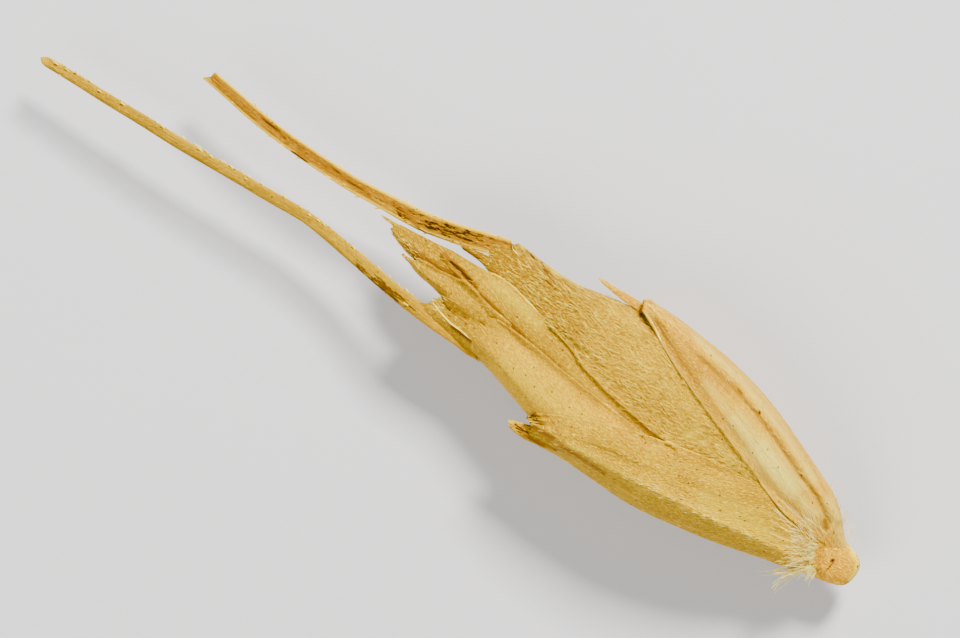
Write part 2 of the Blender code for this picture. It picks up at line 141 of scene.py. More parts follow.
FIRST_LEMMA = (
    (2.2, -1.15, -0.70, -0.35, -0.35, 0.85, 0.10),
    (4.0, -2.10, -1.10, -0.50, -0.40, 1.55, 0.10),
    (6.0, -2.90, -1.40, -0.80, -0.45, 2.05, 0.10),
    (8.0, -3.45, -1.65, -1.10, -0.50, 2.35, 0.10),
    (10.0, -3.85, -1.90, -1.20, -0.55, 2.48, 0.25),
    (12.0, -4.00, -2.20, -1.20, -0.60, 2.46, 0.45),
    (14.0, -4.06, -2.45, -1.22, -0.70, 2.28, 0.50),
    (16.0, -3.98, -2.50, -1.22, -0.90, 2.02, 0.46),
    (18.0, -3.60, -2.40, -1.15, -1.20, 1.78, 0.40),
    (20.0, -3.30, -2.30, -1.22, -1.32, 1.55, 0.36),
    (21.5, -3.40, -2.40, -1.62, -1.60, 1.38, 0.30),
    (23.1, -3.50, -2.65, -1.92, -2.00, 1.14, 0.30),
    (24.0, -3.52, -2.85, -2.30, -2.50, 0.80, 0.20),
)
SECOND_LEMMA = (
    (2.2, 1.20, 0.75, -0.10, 0.35, 0.85, 0.10),
    (4.0, 2.10, 1.10, -0.20, 0.30, 1.55, 0.10),
    (6.0, 2.90, 1.35, -0.30, 0.20, 2.05, 0.10),
    (8.0, 3.45, 1.50, -0.55, 0.10, 2.35, 0.10),
    (10.0, 3.70, 1.55, -0.85, 0.05, 2.48, 0.10),
    (12.0, 3.76, 1.50, -0.80, 0.05, 2.46, 0.10),
    (14.0, 3.62, 1.50, -0.68, 0.05, 2.25, 0.10),
    (15.5, 3.34, 1.45, -0.46, 0.10, 2.05, 0.10),
    (17.0, 2.92, 1.38, -0.02, 0.20, 1.86, 0.10),
    (18.5, 2.52, 1.35, 0.10, 0.30, 1.68, 0.12),
    (20.0, 2.40, 1.35, 0.10, 0.45, 1.48, 0.12),
    (21.5, 2.38, 1.45, 0.25, 0.50, 1.25, 0.14),
    (22.8, 2.10, 1.50, 0.50, 0.62, 1.00, 0.14),
    (24.2, 1.55, 1.10, 0.42, 0.72, 0.75, 0.14),
)
THIRD_LEMMA = (
    (17.0, -2.05, -1.30, -0.95, -0.95, 1.10, 0.20),
    (19.0, -2.15, -1.36, -0.95, -0.95, 1.25, 0.20),
    (20.5, -2.25, -1.40, -0.98, -0.98, 1.38, 0.25),
    (21.6, -2.35, -1.42, -0.86, -0.92, 1.36, 0.35),
    (22.6, -2.30, -1.44, -0.74, -0.90, 1.20, 0.40),
    (23.2, -2.00, -1.46, -0.88, -0.95, 1.08, 0.40),
    (23.6, -1.92, -1.48, -0.98, -1.00, 1.00, 0.40),
    (24.6, -1.87, -1.52, -1.16, -1.15, 0.80, 0.40),
    (25.3, -1.70, -1.50, -1.28, -1.25, 0.60, 0.30),
    (26.0, -1.58, -1.48, -1.38, -1.35, 0.42, 0.20),
)
FOURTH_LEMMA = (
    (9.5, -2.30, -0.50, 0.00, 0.00, 1.85, 0.14),
    (12.0, -2.30, -0.45, 0.10, 0.10, 1.84, 0.14),
    (14.0, -2.20, -0.45, 0.20, 0.10, 1.68, 0.12),
    (16.0, -2.05, -0.42, 0.30, 0.15, 1.52, 0.10),
    (17.4, -1.95, -0.38, 0.30, 0.20, 1.50, 0.10),
    (18.6, -1.85, -0.28, 0.28, 0.20, 1.62, 0.16),
    (19.4, -1.75, -0.20, 0.37, 0.20, 1.72, 0.24),
    (20.1, -1.70, -0.12, 0.48, 0.30, 1.74, 0.30),
    (20.7, -1.65, -0.10, 0.55, 0.30, 1.68, 0.32),
    (21.4, -1.60, -0.12, 0.51, 0.30, 1.56, 0.32),
    (22.0, -1.55, -0.16, 0.38, 0.25, 1.40, 0.30),
    (23.0, -1.50, -0.22, 0.22, 0.10, 1.16, 0.26),
    (23.9, -1.48, -0.30, 0.12, 0.00, 0.98, 0.24),
    (25.0, -1.44, -0.46, -0.11, -0.20, 0.78, 0.24),
    (26.2, -1.27, -0.62, -0.34, -0.40, 0.56, 0.24),
    (27.1, -1.02, -0.68, -0.50, -0.55, 0.38, 0.20),
)

# Height of each bract's ragged top: (share of the way from front margin to back margin, height)
LOWER_TOP = (
    (0.0, 16.0), (0.05, 16.22), (0.09, 16.1), (0.13, 15.88), (0.2, 15.72), (0.27, 15.7), (0.35, 16.0),
    (0.5, 16.2), (0.8, 15.6), (1.0, 14.6),
)
UPPER_TOP = ((0.0, 15.0), (0.12, 15.25), (0.3, 15.1), (0.5, 15.0), (0.8, 15.2), (1.0, 14.2))
FIRST_TOP = (
    (0.0, 23.0), (0.06, 23.25), (0.14, 23.45), (0.2, 23.75), (0.27, 23.9), (0.5, 23.9), (0.7, 23.6),
    (1.0, 22.6),
)
SECOND_TOP = (
    (0.0, 23.7), (0.05, 24.0), (0.1, 22.5), (0.18, 22.7), (0.28, 22.2), (0.42, 21.72), (0.55, 21.6),
    (0.7, 21.7), (1.0, 21.6),
)
THIRD_TOP = ((0.0, 25.1), (0.1, 25.5), (0.18, 25.35), (0.28, 25.95), (0.4, 25.6), (0.5, 25.3), (1.0, 24.8))
FOURTH_TOP = ((0.0, 26.9), (0.2, 27.1), (0.3, 27.0), (0.4, 26.85), (0.5, 26.6), (1.0, 25.9))

# Lines on the front faces, as (x, height)
LOWER_KEEL = (
    (-1.35, 1.2), (-1.85, 4.0), (-2.40, 6.2), (-2.96, 9.1), (-3.54, 11.8), (-3.86, 13.9), (-4.06, 15.6),
)
UPPER_KEEL = (
    (1.30, 1.2), (2.15, 4.0), (2.92, 6.3), (3.42, 8.5), (3.76, 11.0), (3.90, 13.0), (3.86, 15.0),
)
UPPER_GROOVE = (
    (1.0, 1.4), (1.6, 2.7), (1.9, 4.0), (2.3, 5.2), (2.62, 6.3), (3.0, 7.8), (3.22, 9.2), (3.42, 11.5),
)

# What runs on beyond a keel: (height, x, width)
FIRST_AWN = (
    (19.8, -3.30, 0.16), (20.4, -3.30, 0.34), (21.2, -3.22, 0.52), (22.0, -3.20, 0.66), (23.0, -3.22, 0.74),
    (24.0, -3.20, 0.78), (25.0, -3.20, 0.75), (26.0, -3.165, 0.73), (27.0, -3.11, 0.72), (28.0, -3.07, 0.70),
    (29.0, -3.02, 0.67), (30.2, -3.00, 0.63), (30.8, -3.02, 0.62), (31.4, -3.09, 0.62), (32.2, -3.21, 0.62),
    (33.0, -3.33, 0.61), (34.0, -3.46, 0.59), (36.0, -3.73, 0.59), (38.0, -4.00, 0.60), (40.0, -4.21, 0.58),
    (42.0, -4.45, 0.56), (44.0, -4.66, 0.53), (45.75, -4.87, 0.50),
)
SECOND_AWN = (
    (21.5, 2.02, 0.86), (22.2, 1.76, 0.96), (23.0, 1.44, 1.00), (24.0, 1.04, 1.02), (25.0, 0.70, 1.00),
    (26.0, 0.38, 0.98), (27.0, 0.17, 0.95), (28.0, 0.00, 0.88), (29.0, -0.18, 0.83), (30.0, -0.34, 0.80),
    (31.0, -0.44, 0.79), (32.0, -0.52, 0.77), (33.0, -0.575, 0.75), (34.0, -0.62, 0.74), (35.0, -0.63, 0.73),
    (36.0, -0.61, 0.72), (37.0, -0.55, 0.70), (38.62, -0.46, 0.68),
)
LOWER_BEAK = (
    (14.2, -4.32, 0.50), (15.0, -4.47, 0.68), (15.6, -4.60, 0.74), (16.2, -4.72, 0.60), (16.6, -4.79, 0.42),
    (16.8, -4.82, 0.32),
)
UPPER_BEAK = (
    (13.9, 3.62, 0.46), (15.0, 3.57, 0.50), (15.8, 3.52, 0.44), (16.6, 3.46, 0.32), (17.3, 3.45, 0.20),
    (17.6, 3.45, 0.13),
)
FOURTH_TIP = (
    (26.3, -0.58, 0.36), (26.8, -0.62, 0.28), (27.2, -0.64, 0.19), (27.6, -0.66, 0.13), (27.92, -0.68, 0.06),
)

# The stalk stub and the rachilla: (height, x, half width, half depth)
STALK = (
    (-1.32, -0.34, 0.20, 0.16), (-1.28, -0.34, 0.42, 0.32), (-1.14, -0.34, 0.68, 0.52),
    (-0.80, -0.34, 0.90, 0.70), (-0.35, -0.37, 1.05, 0.79), (0.15, -0.38, 1.17, 0.86),
    (0.55, -0.32, 1.32, 0.92), (0.85, -0.22, 1.48, 0.95), (1.05, -0.18, 1.42, 0.88),
    (1.35, -0.12, 1.15, 0.76), (1.80, -0.05, 0.70, 0.60), (3.20, 0.00, 0.22, 0.30),
    (5.00, 0.00, 0.08, 0.10),
)

# Where the tufts at the foot grow: name, width, then (x, height, rise above the middle plane, aim)
TUFT_BEDS = (
    ("long_bed", 0.3, (
        (-0.65, 1.40, 1.22, (-0.28, 1, 0.28)), (-0.30, 1.50, 1.22, (-0.12, 1, 0.28)),
        (0.0, 1.52, 1.2, (0.0, 1, 0.25)), (0.32, 1.48, 1.16, (0.10, 1, 0.22)),
    )),
    ("front_bed", 0.5, (
        (-1.35, 0.85, 0.95, (-0.7, 1, 0.3)), (-1.0, 1.1, 1.10, (-0.5, 1, 0.4)),
        (-0.6, 1.35, 1.2, (-0.3, 1, 0.4)), (-0.2, 1.45, 1.2, (-0.1, 1, 0.4)),
        (0.2, 1.45, 1.18, (0.0, 1, 0.4)), (0.5, 1.35, 1.12, (0.15, 1, 0.35)),
    )),
    ("curly_bed", 0.6, (
        (-1.42, 0.55, 0.75, (-1, 0.5, 0.2)), (-1.15, 0.80, 0.9, (-0.9, 0.7, 0.3)),
        (-0.85, 1.10, 1.05, (-0.8, 0.9, 0.4)), (-0.5, 1.35, 1.15, (-0.5, 1, 0.4)),
        (-0.2, 1.4, 1.18, (-0.3, 1, 0.4)),
    )),
    ("left_bed", 0.3, (
        (-1.85, 1.25, 0.35, (-1, 0.75, 0.15)), (-1.70, 1.05, 0.4, (-1, 0.7, 0.2)),
        (-1.5, 0.85, 0.5, (-1, 0.75, 0.3)), (-1.35, 0.70, 0.55, (-1, 0.6, 0.2)),
    )),
    ("right_bed", 0.25, (
        (0.85, -0.35, 0.25, (1, 0.15, 0.1)), (1.12, 0.3, 0.3, (1, 0.25, 0.1)),
        (1.42, 0.9, 0.35, (1, 0.35, 0.1)), (1.70, 1.4, 0.35, (1, 0.6, 0.1)),
        (2.1, 2.2, 0.4, (1, 0.9, 0.1)), (2.5, 3.2, 0.4, (1, 1.3, 0.1)),
    )),
)


def smooth_through(points):
    """A curve through the points that never overshoots them, as a function of an array."""
    x, y = (np.array(column, float) for column in zip(*points))
    step = np.diff(x)
    slope = np.diff(y) / step
    tangent = np.concatenate([slope[:1], np.zeros(len(x) - 2), slope[-1:]])
    for i in range(1, len(x) - 1):
        if slope[i - 1] * slope[i] > 0:
            before, after = 2 * step[i] + step[i - 1], step[i] + 2 * step[i - 1]
            tangent[i] = (before + after) / (before / slope[i - 1] + after / slope[i])

    def curve(at):
        at = np.clip(at, x[0], x[-1])
        i = np.clip(np.searchsorted(x, at) - 1, 0, len(x) - 2)
        t = (at - x[i]) / step[i]
        ends = y[i] * (1 + 2 * t) * (1 - t) ** 2 + y[i + 1] * t * t * (3 - 2 * t)
        return ends + step[i] * t * (1 - t) * (tangent[i] * (1 - t) - tangent[i + 1] * t)

    return curve


def column(stations, index):
    """One measure of a table of sections, as a curve over the height."""
    return smooth_through([(row[0], row[index]) for row in stations])


middle = smooth_through(MIDDLE)


def near(x, y, line, width):
    """1 on a drawn line, fading to 0 at about twice its width to each side."""
    best = np.full(np.shape(x), 1e9)
    for (x0, y0), (x1, y1) in zip(line, line[1:]):
        run_x, run_y = x1 - x0, y1 - y0
        t = np.clip(((x - x0) * run_x + (y - y0) * run_y) / (run_x**2 + run_y**2), 0, 1)
        best = np.minimum(best, np.hypot(x - x0 - t * run_x, y - y0 - t * run_y))
    return np.exp(-((best / width) ** 2))


def ripple(across, along, seed, fineness=1.0, stretch=6.0, waves=9):
    """Irregular folds that run along a bract, about -1 to 1."""
    draw = np.random.default_rng(seed)
    total = np.zeros(np.shape(across))
    for _ in range(waves):
        pitch = draw.uniform(1.2, 5.0) * fineness
        slant = draw.uniform(-1.0, 1.0) * pitch / stretch
        height = draw.uniform(0.4, 1.0)
        total += height * np.sin(pitch * across + slant * along + draw.uniform(0, DRAWN_TURN))
    return total / waves * RIPPLE_SIZE


def spots_of(grid):
    """The points of a sheet or a rod."""
    return np.stack([grid.x, grid.y, grid.z], -1)


def grid_faces(rows, columns):
    """The faces between the points of a grid, row by row."""
    corners = (r * columns + c for r in range(rows - 1) for c in range(columns - 1))
    return [(a, a + 1, a + 1 + columns, a + columns) for a in corners]


def half_section(outer, crown, margin, depth, sag):
    """(x, z) from the outer side, over the crown and down to the margin, closely spaced."""
    inward = math.copysign(1.0, crown - outer)
    turn = np.linspace(math.pi / 2, 0.0, ROUND_STEPS)
    x = crown + (outer - crown) * np.sin(turn) ** ROUNDNESS
    z = depth * np.cos(turn) ** ROUNDNESS
    beyond = np.linspace(0.0, max((margin - crown) * inward, 0.0) + 0.01, SAG_STEPS)[1:]
    x = np.append(x, crown + inward * beyond)
    z = np.append(z, depth - sag * beyond**2)
    across = (x - outer) * inward
    end = (margin - outer) * inward
    kept = across < end - 1e-6
    x = np.append(x[kept], margin)
    z = np.append(z[kept], np.interp(end, across, z))
    return x, z


def spread(x, z, count):
    """count + 1 points at equal steps along the line, and its length."""
    along = np.concatenate([[0.0], np.cumsum(np.hypot(np.diff(x), np.diff(z)))])
    at = np.linspace(0.0, along[-1], count + 1)
    return np.interp(at, along, x), np.interp(at, along, z), along[-1]


class Sheet:
    """A grid of points on a bract's outer face, with what its finish and its hairs need to know."""

    def __init__(self, stations, top, front=60, back=30, rows=150, press=0.0, ragged=0.0, seed=1):
        measures = [column(stations, index) for index in range(1, 7)]
        base, peak = stations[0][0], max(height for _, height in top) + 0.3
        table = np.linspace(base, peak, SECTION_STEPS)
        cross, rise, width = [], [], []
        for height in table:
            outer, crown, front_edge, back_edge, depth, sag = (float(measure(height)) for measure in measures)
            fx, fz, front_run = spread(*half_section(outer, crown, front_edge, depth, sag), front)
            bx, bz, back_run = spread(*half_section(outer, crown, back_edge, depth + press, sag), back)
            cross.append(np.append(fx[::-1], bx[1:]))
            rise.append(np.append(fz[::-1], -bz[1:]))
            front_steps = np.linspace(-front_run, 0.0, front + 1)
            width.append(np.append(front_steps, np.linspace(0.0, back_run, back + 1)[1:]))
        cross, rise, width = (np.array(each) for each in (cross, rise, width))
        count = front + back + 1
        share = np.append(np.linspace(0.0, 0.5, front + 1), np.linspace(0.5, 1.0, back + 1)[1:])
        tops = np.interp(share, *zip(*top))
        if ragged:
            draw = np.random.default_rng(seed)
            teeth = draw.uniform(-1.0, 1.0, count)
            tops = tops + ragged * np.convolve(teeth, [0.25, 0.5, 0.25], mode="same")
        t = np.linspace(0.0, 1.0, rows + 1)[:, None]
        self.y = base + (tops[None, :] - base) * t
        self.x, self.z, self.across = (np.empty_like(self.y) for _ in range(3))
        for c in range(count):
            self.x[:, c] = np.interp(self.y[:, c], table, cross[:, c])
            self.z[:, c] = np.interp(self.y[:, c], table, rise[:, c])
            self.across[:, c] = np.interp(self.y[:, c], table, width[:, c])
        self.front = self.z > 0
        self.from_margin = self.across - self.across[:, :1]
        self.z = self.z + middle(self.y)
        self.stain_and_shadow, self.pale_and_highlight, self.hairy, self.shade = np.zeros((4, *self.y.shape))
        self.root = 1.0 - between_heights(self.y, 0.5, 2.2)

    def normals(self):
        """The outward direction and the lengthwise one at each point."""
        spots = spots_of(self)
        down = np.gradient(spots, axis=1)
        up = np.gradient(spots, axis=0)
        normal = np.cross(down, up)
        normal /= np.maximum(np.linalg.norm(normal, axis=-1, keepdims=True), 1e-9)
        if normal[..., 2][self.front].mean() < 0:
            normal = -normal
        run = up / np.maximum(np.linalg.norm(up, axis=-1, keepdims=True), 1e-9)
        return normal, run

    def push(self, amount):
        """Moves the face outwards by an amount at each point."""
        normal, _ = self.normals()
        self.x = self.x + normal[..., 0] * amount
        self.y = self.y + normal[..., 1] * amount
        self.z = self.z + normal[..., 2] * amount

    def ridge(self, line, width, height):
        """Raises the front face along a line, or sinks it where the height is negative."""
        self.push(height * near(self.x, self.y, line, width) * self.front)

    def mark(self, line, width, strength):
        """Stains the front face along a line; some marks are painted shadow. The next two make it paler and
        deeper in tone, and also paint highlight and shade.
        """
        self.stain_and_shadow = np.maximum(self.stain_and_shadow, strength * near(self.x, self.y, line, width) * self.front)

    def lighten(self, line, width, strength):
        self.pale_and_highlight = np.maximum(self.pale_and_highlight, strength * near(self.x, self.y, line, width) * self.front)

    def deepen(self, line, width, strength):
        self.shade = np.maximum(self.shade, strength * near(self.x, self.y, line, width) * self.front)

    def folds(self, seed, depth, fineness=1.0, stretch=6.0):
        self.push(depth * ripple(self.across, self.y, seed, fineness, stretch))

    def veins(self, shares, height, width):
        """Raised lines up the bract, each at its share of the way from the outer side to the margin."""
        run = -self.across[:, :1]
        lines = sum(np.exp(-(((self.across + share * run) / width) ** 2)) for share in shares)
        self.push(height * lines * self.front)

    def rim(self, low, high, strength, width=0.10):
        """A pale front margin between two heights."""
        edge = np.exp(-((self.from_margin / width) ** 2)) * between_heights(self.y, low, low + 0.6)
        self.pale_and_highlight = np.maximum(self.pale_and_highlight, strength * edge * (1 - between_heights(self.y, high - 0.6, high)))

    def on_surface(self):
        """Flattens what would reach below the surface that the spikelet lies on."""
        self.z = np.maximum(self.z, 0.0)

    def tree(self):
        """The sheet's front, ready to be met by a line from above."""
        faces = [face for face in grid_faces(*self.y.shape) if self.front.flat[face[0]]]
        return BVHTree.FromPolygons(spots_of(self).reshape(-1, 3).tolist(), faces)

    def drop(self, below, reach, low=-9.0, high=99.0, soft=1.2, gap=0.02, even=0):
        """Brings the front margin down, or up, onto the sheets that lie beneath it."""
        trees = [sheet.tree() for sheet in below]
        moved = np.zeros_like(self.z)
        share = between_heights(reach - self.from_margin, 0.0, reach * 0.9)
        share = share * between_heights(self.y, low, low + soft)
        share = share * (1 - between_heights(self.y, high - soft, high))
        for r, c in np.argwhere((share > 0.0) & self.front):
            top = surface_height(trees, self.x[r, c], self.y[r, c])
            if top is not None:
                gain = top + CHAFF + gap - self.z[r, c]
                moved[r, c] = gain * min(1.0, share[r, c] * (1.0 if gain < 0 else 1.5))
        for _ in range(even):
            moved[1:-1] = 0.25 * moved[:-2] + 0.5 * moved[1:-1] + 0.25 * moved[2:]
        self.z = self.z + moved


def surface_height(trees, x, y):
    """The height of the topmost sheet at a place, if there is one."""
    found = [tree.ray_cast(Vector((x, y, ABOVE_ALL)), Vector((0.0, 0.0, -1.0)))[0] for tree in trees]
    heights = [spot.z for spot in found if spot is not None]
    return max(heights) if heights else None


def between_heights(along, low, high):
    """0 up to low, 1 from high on, and smooth between."""
    t = np.clip((along - low) / (high - low), 0.0, 1.0)
    return t * t * (3 - 2 * t)


def mesh_from(name, spots, faces, attributes, vectors):
    """A smooth mesh from points in millimetres, with the named values kept at its points."""
    mesh = bpy.data.meshes.new(name)
    mesh.from_pydata(((np.asarray(spots) + FOOT) * MM).tolist(), [], faces)
    for table, kind, field in ((attributes, "FLOAT", "value"), (vectors, "FLOAT_VECTOR", "vector")):
        for key, values in table.items():
            kept = mesh.attributes.new(key, kind, "POINT").data
            kept.foreach_set(field, np.ravel(values).astype(np.float32))
    mesh.shade_smooth()
    return mesh


def sheet_mesh(name, sheet, hairy=None):
    """The sheet as an open mesh whose faces point outwards, with its own hairiness or another."""
    rows, columns = sheet.y.shape
    normal, run = sheet.normals()
    spots = spots_of(sheet).reshape(-1, 3)
    faces = grid_faces(rows, columns)
    facing = np.cross(spots[1] - spots[0], spots[columns] - spots[0])
    if np.dot(facing, normal[0, 0]) <= 0:
        faces = [face[::-1] for face in faces]
    values = {key: getattr(sheet, key) for key in ("stain_and_shadow", "pale_and_highlight", "shade", "root")}
    values["hairy"] = sheet.hairy if hairy is None else hairy
    lay = np.stack([sheet.across, sheet.y, np.zeros_like(sheet.y)], -1)
    return mesh_from(name, spots, faces, values, {"lay": lay, "along": run})


def in_scene(name, data):
    """A new object in the scene."""
    obj = bpy.data.objects.new(name, data)
    bpy.context.scene.collection.objects.link(obj)
    return obj


def settle(obj, node=None):
    """Fixes a piece to the spikelet and hides the solid that it stands for."""
    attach(obj, "root")
    if node:
        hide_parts(node)


def placed(name, mesh, material, node=None):
    """A finished mesh as a piece of the spikelet."""
    obj = in_scene(name, mesh)
    mesh.materials.append(material)
    settle(obj, node)
    return obj


def bract(name, sheet, material, node):
    """A glume or lemma as a piece of thin chaff."""
    obj = in_scene(name, sheet_mesh(name, sheet))
    wall = obj.modifiers.new("wall", "SOLIDIFY")
    wall.thickness = CHAFF * MM
    wall.offset = -1.0
    obj.data.materials.append(material)
    settle(obj, node)


class Rod:
    """A grid of points round an awn or beak, from its foot to its tip."""

    def __init__(self, stations, lift, rings, sides=20, depth=0.78, groove=0.0, tip=None, foot=None, seed=3):
        place, width = column(stations, 1), column(stations, 2)
        low, high = stations[0][0], stations[-1][0]
        t = np.linspace(0.0, 1.0, rings + 1)[:, None]
        turn = np.linspace(0.0, FULL_TURN, sides, endpoint=False)[None, :]
        side = np.cos(turn) * np.ones_like(t)
        over = np.sin(turn) * np.ones_like(t)
        start = low + (np.interp(side, *zip(*foot)) if foot else 0.0)
        end = high + (np.interp(side, *zip(*tip)) if tip else 0.0)
        along = start + (end - start) * t + 0.0 * side
        wide = width(along)
        ahead = 0.05
        lean = np.arctan((place(along + ahead) - place(along - ahead)) / (2 * ahead))
        rise = 0.5 * depth * wide * (over - groove * 2 * np.maximum(over, 0.0) ** 3)
        reach = 0.5 * wide * side
        wobble = 0.012 * ripple(turn + np.zeros_like(t), along, seed, fineness=0.6, stretch=0.7)
        reach = reach * (1.0 + wobble)
        self.x = place(along) + reach * np.cos(lean)
        self.y = along - reach * np.sin(lean)
        self.z = middle(along) + lift(along) + rise
        self.side, self.over, self.height = side, over, along
        self.wide = wide
        self.run = np.stack([np.sin(lean), np.cos(lean), np.zeros_like(lean)], -1)
        self.stain_and_shadow, self.pale_and_highlight, self.dash, self.root, self.hairy = np.zeros((5, *self.x.shape))

    def mesh(self, name, round_tip=0.0):
        """The rod as a mesh with both ends closed."""
        rings, sides = self.x.shape
        spots = spots_of(self)
        if round_tip:
            for back, share in ((0, 0.45), (1, 0.8), (2, 0.95)):
                ring = spots[-1 - back]
                spots[-1 - back] = ring.mean(0) + (ring - ring.mean(0)) * share
        flat = spots.reshape(-1, 3)
        ends = np.array([spots[0].mean(0), spots[-1].mean(0)])
        ends[1, 1] += round_tip
        flat = np.vstack([flat, ends])
        values = {}
        for key in ("stain_and_shadow", "pale_and_highlight", "dash", "root", "hairy"):
            grid = getattr(self, key)
            values[key] = np.append(np.ravel(grid), [grid[0].mean(), grid[-1].mean()])
        lay = np.stack([self.side * self.wide / 2, self.height, self.over * 0.3], -1)
        lay = np.vstack([lay.reshape(-1, 3), [lay[0].mean(0), lay[-1].mean(0)]])
        run = np.vstack([self.run.reshape(-1, 3), [self.run[0, 0], self.run[-1, 0]]])
        return mesh_from(name, flat, tube_faces(rings, sides), values, {"lay": lay, "along": run})


def tube_faces(rings, sides):
    """The faces of a tube of rings, closed at its ends by two points that follow the rings."""
    faces = []
    for r in range(rings - 1):
        for s in range(sides):
            a, b = r * sides + s, r * sides + (s + 1) % sides
            faces.append((a, a + sides, b + sides, b))
    foot, tip = rings * sides, rings * sides + 1
    last = (rings - 1) * sides
    for s in range(sides):
        after = (s + 1) % sides
        faces.append((foot, s, after))
        faces.append((tip, last + after, last + s))
    return faces


def closed(mesh):
    """Turns every face of a closed mesh outwards."""
    bm = bmesh.new()
    bm.from_mesh(mesh)
    bm.normal_update()
    bmesh.ops.recalc_face_normals(bm, faces=bm.faces)
    bm.to_mesh(mesh)
    bm.free()
    return mesh


# Thin edges and the stalk


def margin(sheet, low, high):
    """The front margin of a sheet between two heights, as points."""
    rows = [r for r in range(sheet.y.shape[0]) if low <= sheet.y[r, 0] <= high]
    return [(sheet.x[r, 0], sheet.y[r, 0], sheet.z[r, 0] - BARE_MARGIN) for r in rows]


def broken(line, radius, seed):
    """A line cut into uneven pieces with small gaps, each with its own thickness."""
    draw = np.random.default_rng(seed)
    pieces, start = [], 0
    while start < len(line):
        count = int(draw.integers(6, 15))
        pieces.append((line[start:start + count], radius * draw.uniform(0.6, 1.3)))
        start += count + int(draw.integers(0, 4))
    return pieces


def laid(line, trees, rise=0.0, step=0.12):
    """A drawn line laid on the sheets beneath it, as closely spaced points."""
    spots = []
    for (x0, y0), (x1, y1) in zip(line, line[1:]):
        count = max(2, int(math.hypot(x1 - x0, y1 - y0) / step))
        for i in range(count):
            x, y = x0 + (x1 - x0) * i / count, y0 + (y1 - y0) * i / count
            top = surface_height(trees, x, y)
            if top is not None:
                spots.append((x, y, top + rise))
    return spots


def edges(name, lines, material, sides=6):
    """Fine rounded edges along the lines, thinning out at both ends, as one piece."""
    spots, faces = [], []
    for line, radius in (each for each in lines if len(each[0]) > 3):
        path = np.array(line, float)
        run = np.gradient(path, axis=0)
        run /= np.linalg.norm(run, axis=1, keepdims=True)
        side = np.cross(run, [0.0, 0.0, 1.0])
        side /= np.linalg.norm(side, axis=1, keepdims=True)
        over = np.cross(side, run)
        ends = np.minimum(np.arange(len(path)), np.arange(len(path))[::-1])
        thick = radius * np.clip(0.15 + ends / 4.0, 0.0, 1.0)
        base = len(spots)
        for spot, across, above, reach in zip(path, side, over, thick):
            for k in range(sides):
                turn = FULL_TURN * k / sides
                spots.append(spot + reach * (math.cos(turn) * across + math.sin(turn) * above))
        for r in range(len(path) - 1):
            for k in range(sides):
                a, b = base + r * sides + k, base + r * sides + (k + 1) % sides
                faces.append((a, b, b + sides, a + sides))
        last = base + (len(path) - 1) * sides
        faces.append(tuple(range(base, base + sides))[::-1])
        faces.append(tuple(range(last, last + sides)))
    placed(name, closed(mesh_from(name, spots, faces, {}, {})), material)


def stalk_mesh(name, sides=48, rings=90):
    """The stalk stub: a soft oval loft, with a rounded end and faint dents."""
    x, half_width, half_depth = (column(STALK, index) for index in (1, 2, 3))
    low, high = STALK[0][0], STALK[-1][0]
    t = np.linspace(0.0, 1.0, rings + 1)[:, None] ** 1.6
    height = low + (high - low) * t
    turn = np.linspace(0.0, FULL_TURN, sides, endpoint=False)[None, :]
    dents = 1.0 + 0.02 * ripple(turn + 0 * t, height, 81, fineness=0.9, stretch=1.2)
    across = np.sign(np.cos(turn)) * np.abs(np.cos(turn)) ** 0.9 * half_width(height) * dents
    deep = np.sign(np.sin(turn)) * np.abs(np.sin(turn)) ** 0.9 * half_depth(height) * dents
    spots = np.stack([x(height) + across, height + 0 * turn, middle(height) + deep], -1)
    flat = np.vstack([spots.reshape(-1, 3), [spots[0].mean(0), spots[-1].mean(0)]])
    at_x, at_height, at_z = flat.T
    stain_and_shadow = 0.8 * near(at_x, at_height, ((-0.95, 0.02), (-0.5, 0.0)), 0.04)
    stain_and_shadow += 1.8 * near(at_x, at_height, ((-0.42, 0.06), (-0.40, 0.10)), 0.055)
    stain_and_shadow *= at_z > middle(at_height)
    # Painted highlights: a bright band round the rounded cut end and up the stub's right side
    cut_edge = ((-0.6, -1.22), (-0.1, -1.2), (0.35, -0.9), (0.62, -0.4))
    pale_and_highlight = 0.75 * near(at_x, at_height, cut_edge, 0.10)
    pale_and_highlight += 0.35 * near(at_x, at_height, ((0.62, -0.4), (0.9, 0.3), (1.2, 0.9)), 0.16)
    lay = np.stack([at_x * 0.6, at_height, at_z * 0.6], -1)
    run = np.tile([0.0, 1.0, 0.0], (len(flat), 1))
    values = {"stain_and_shadow": stain_and_shadow, "pale_and_highlight": pale_and_highlight, "root": between_heights(at_height, -0.9, 0.4)}
    faces = tube_faces(rings + 1, sides)
    return closed(mesh_from(name, flat, faces, values, {"lay": lay, "along": run}))


# Finishes


def tone(red, green, blue):
    """A colour as it is seen, 0 to 255 each, turned into the light it stands for."""
    light = [((c / 255 + 0.055) / 1.055) ** 2.4 if c > 10 else c / 3294.6 for c in (red, green, blue)]
    return (*light, 1.0)


def new_finish(name):
    """An empty material, its nodes and its shader."""
    material = bpy.data.materials.new(name)
    material.use_nodes = True
    return material, material.node_tree, material.node_tree.nodes["Principled BSDF"]


def add(tree, kind, values=None, links=None, **settings):
    """A new node with its settings, its fixed inputs and its linked inputs."""
    made = tree.nodes.new(kind)
    for key, value in settings.items():
        setattr(made, key, value)
    for key, value in (values or {}).items():
        made.inputs[key].default_value = value
    for key, socket in (links or {}).items():
        tree.links.new(socket, made.inputs[key])
    return made


def feed(tree, sockets, terms):
    """Gives each socket its term, which is a number, a colour or another node's output."""
    for socket, term in zip(sockets, terms):
        if isinstance(term, bpy.types.NodeSocket):
            tree.links.new(term, socket)
        else:
            socket.default_value = term


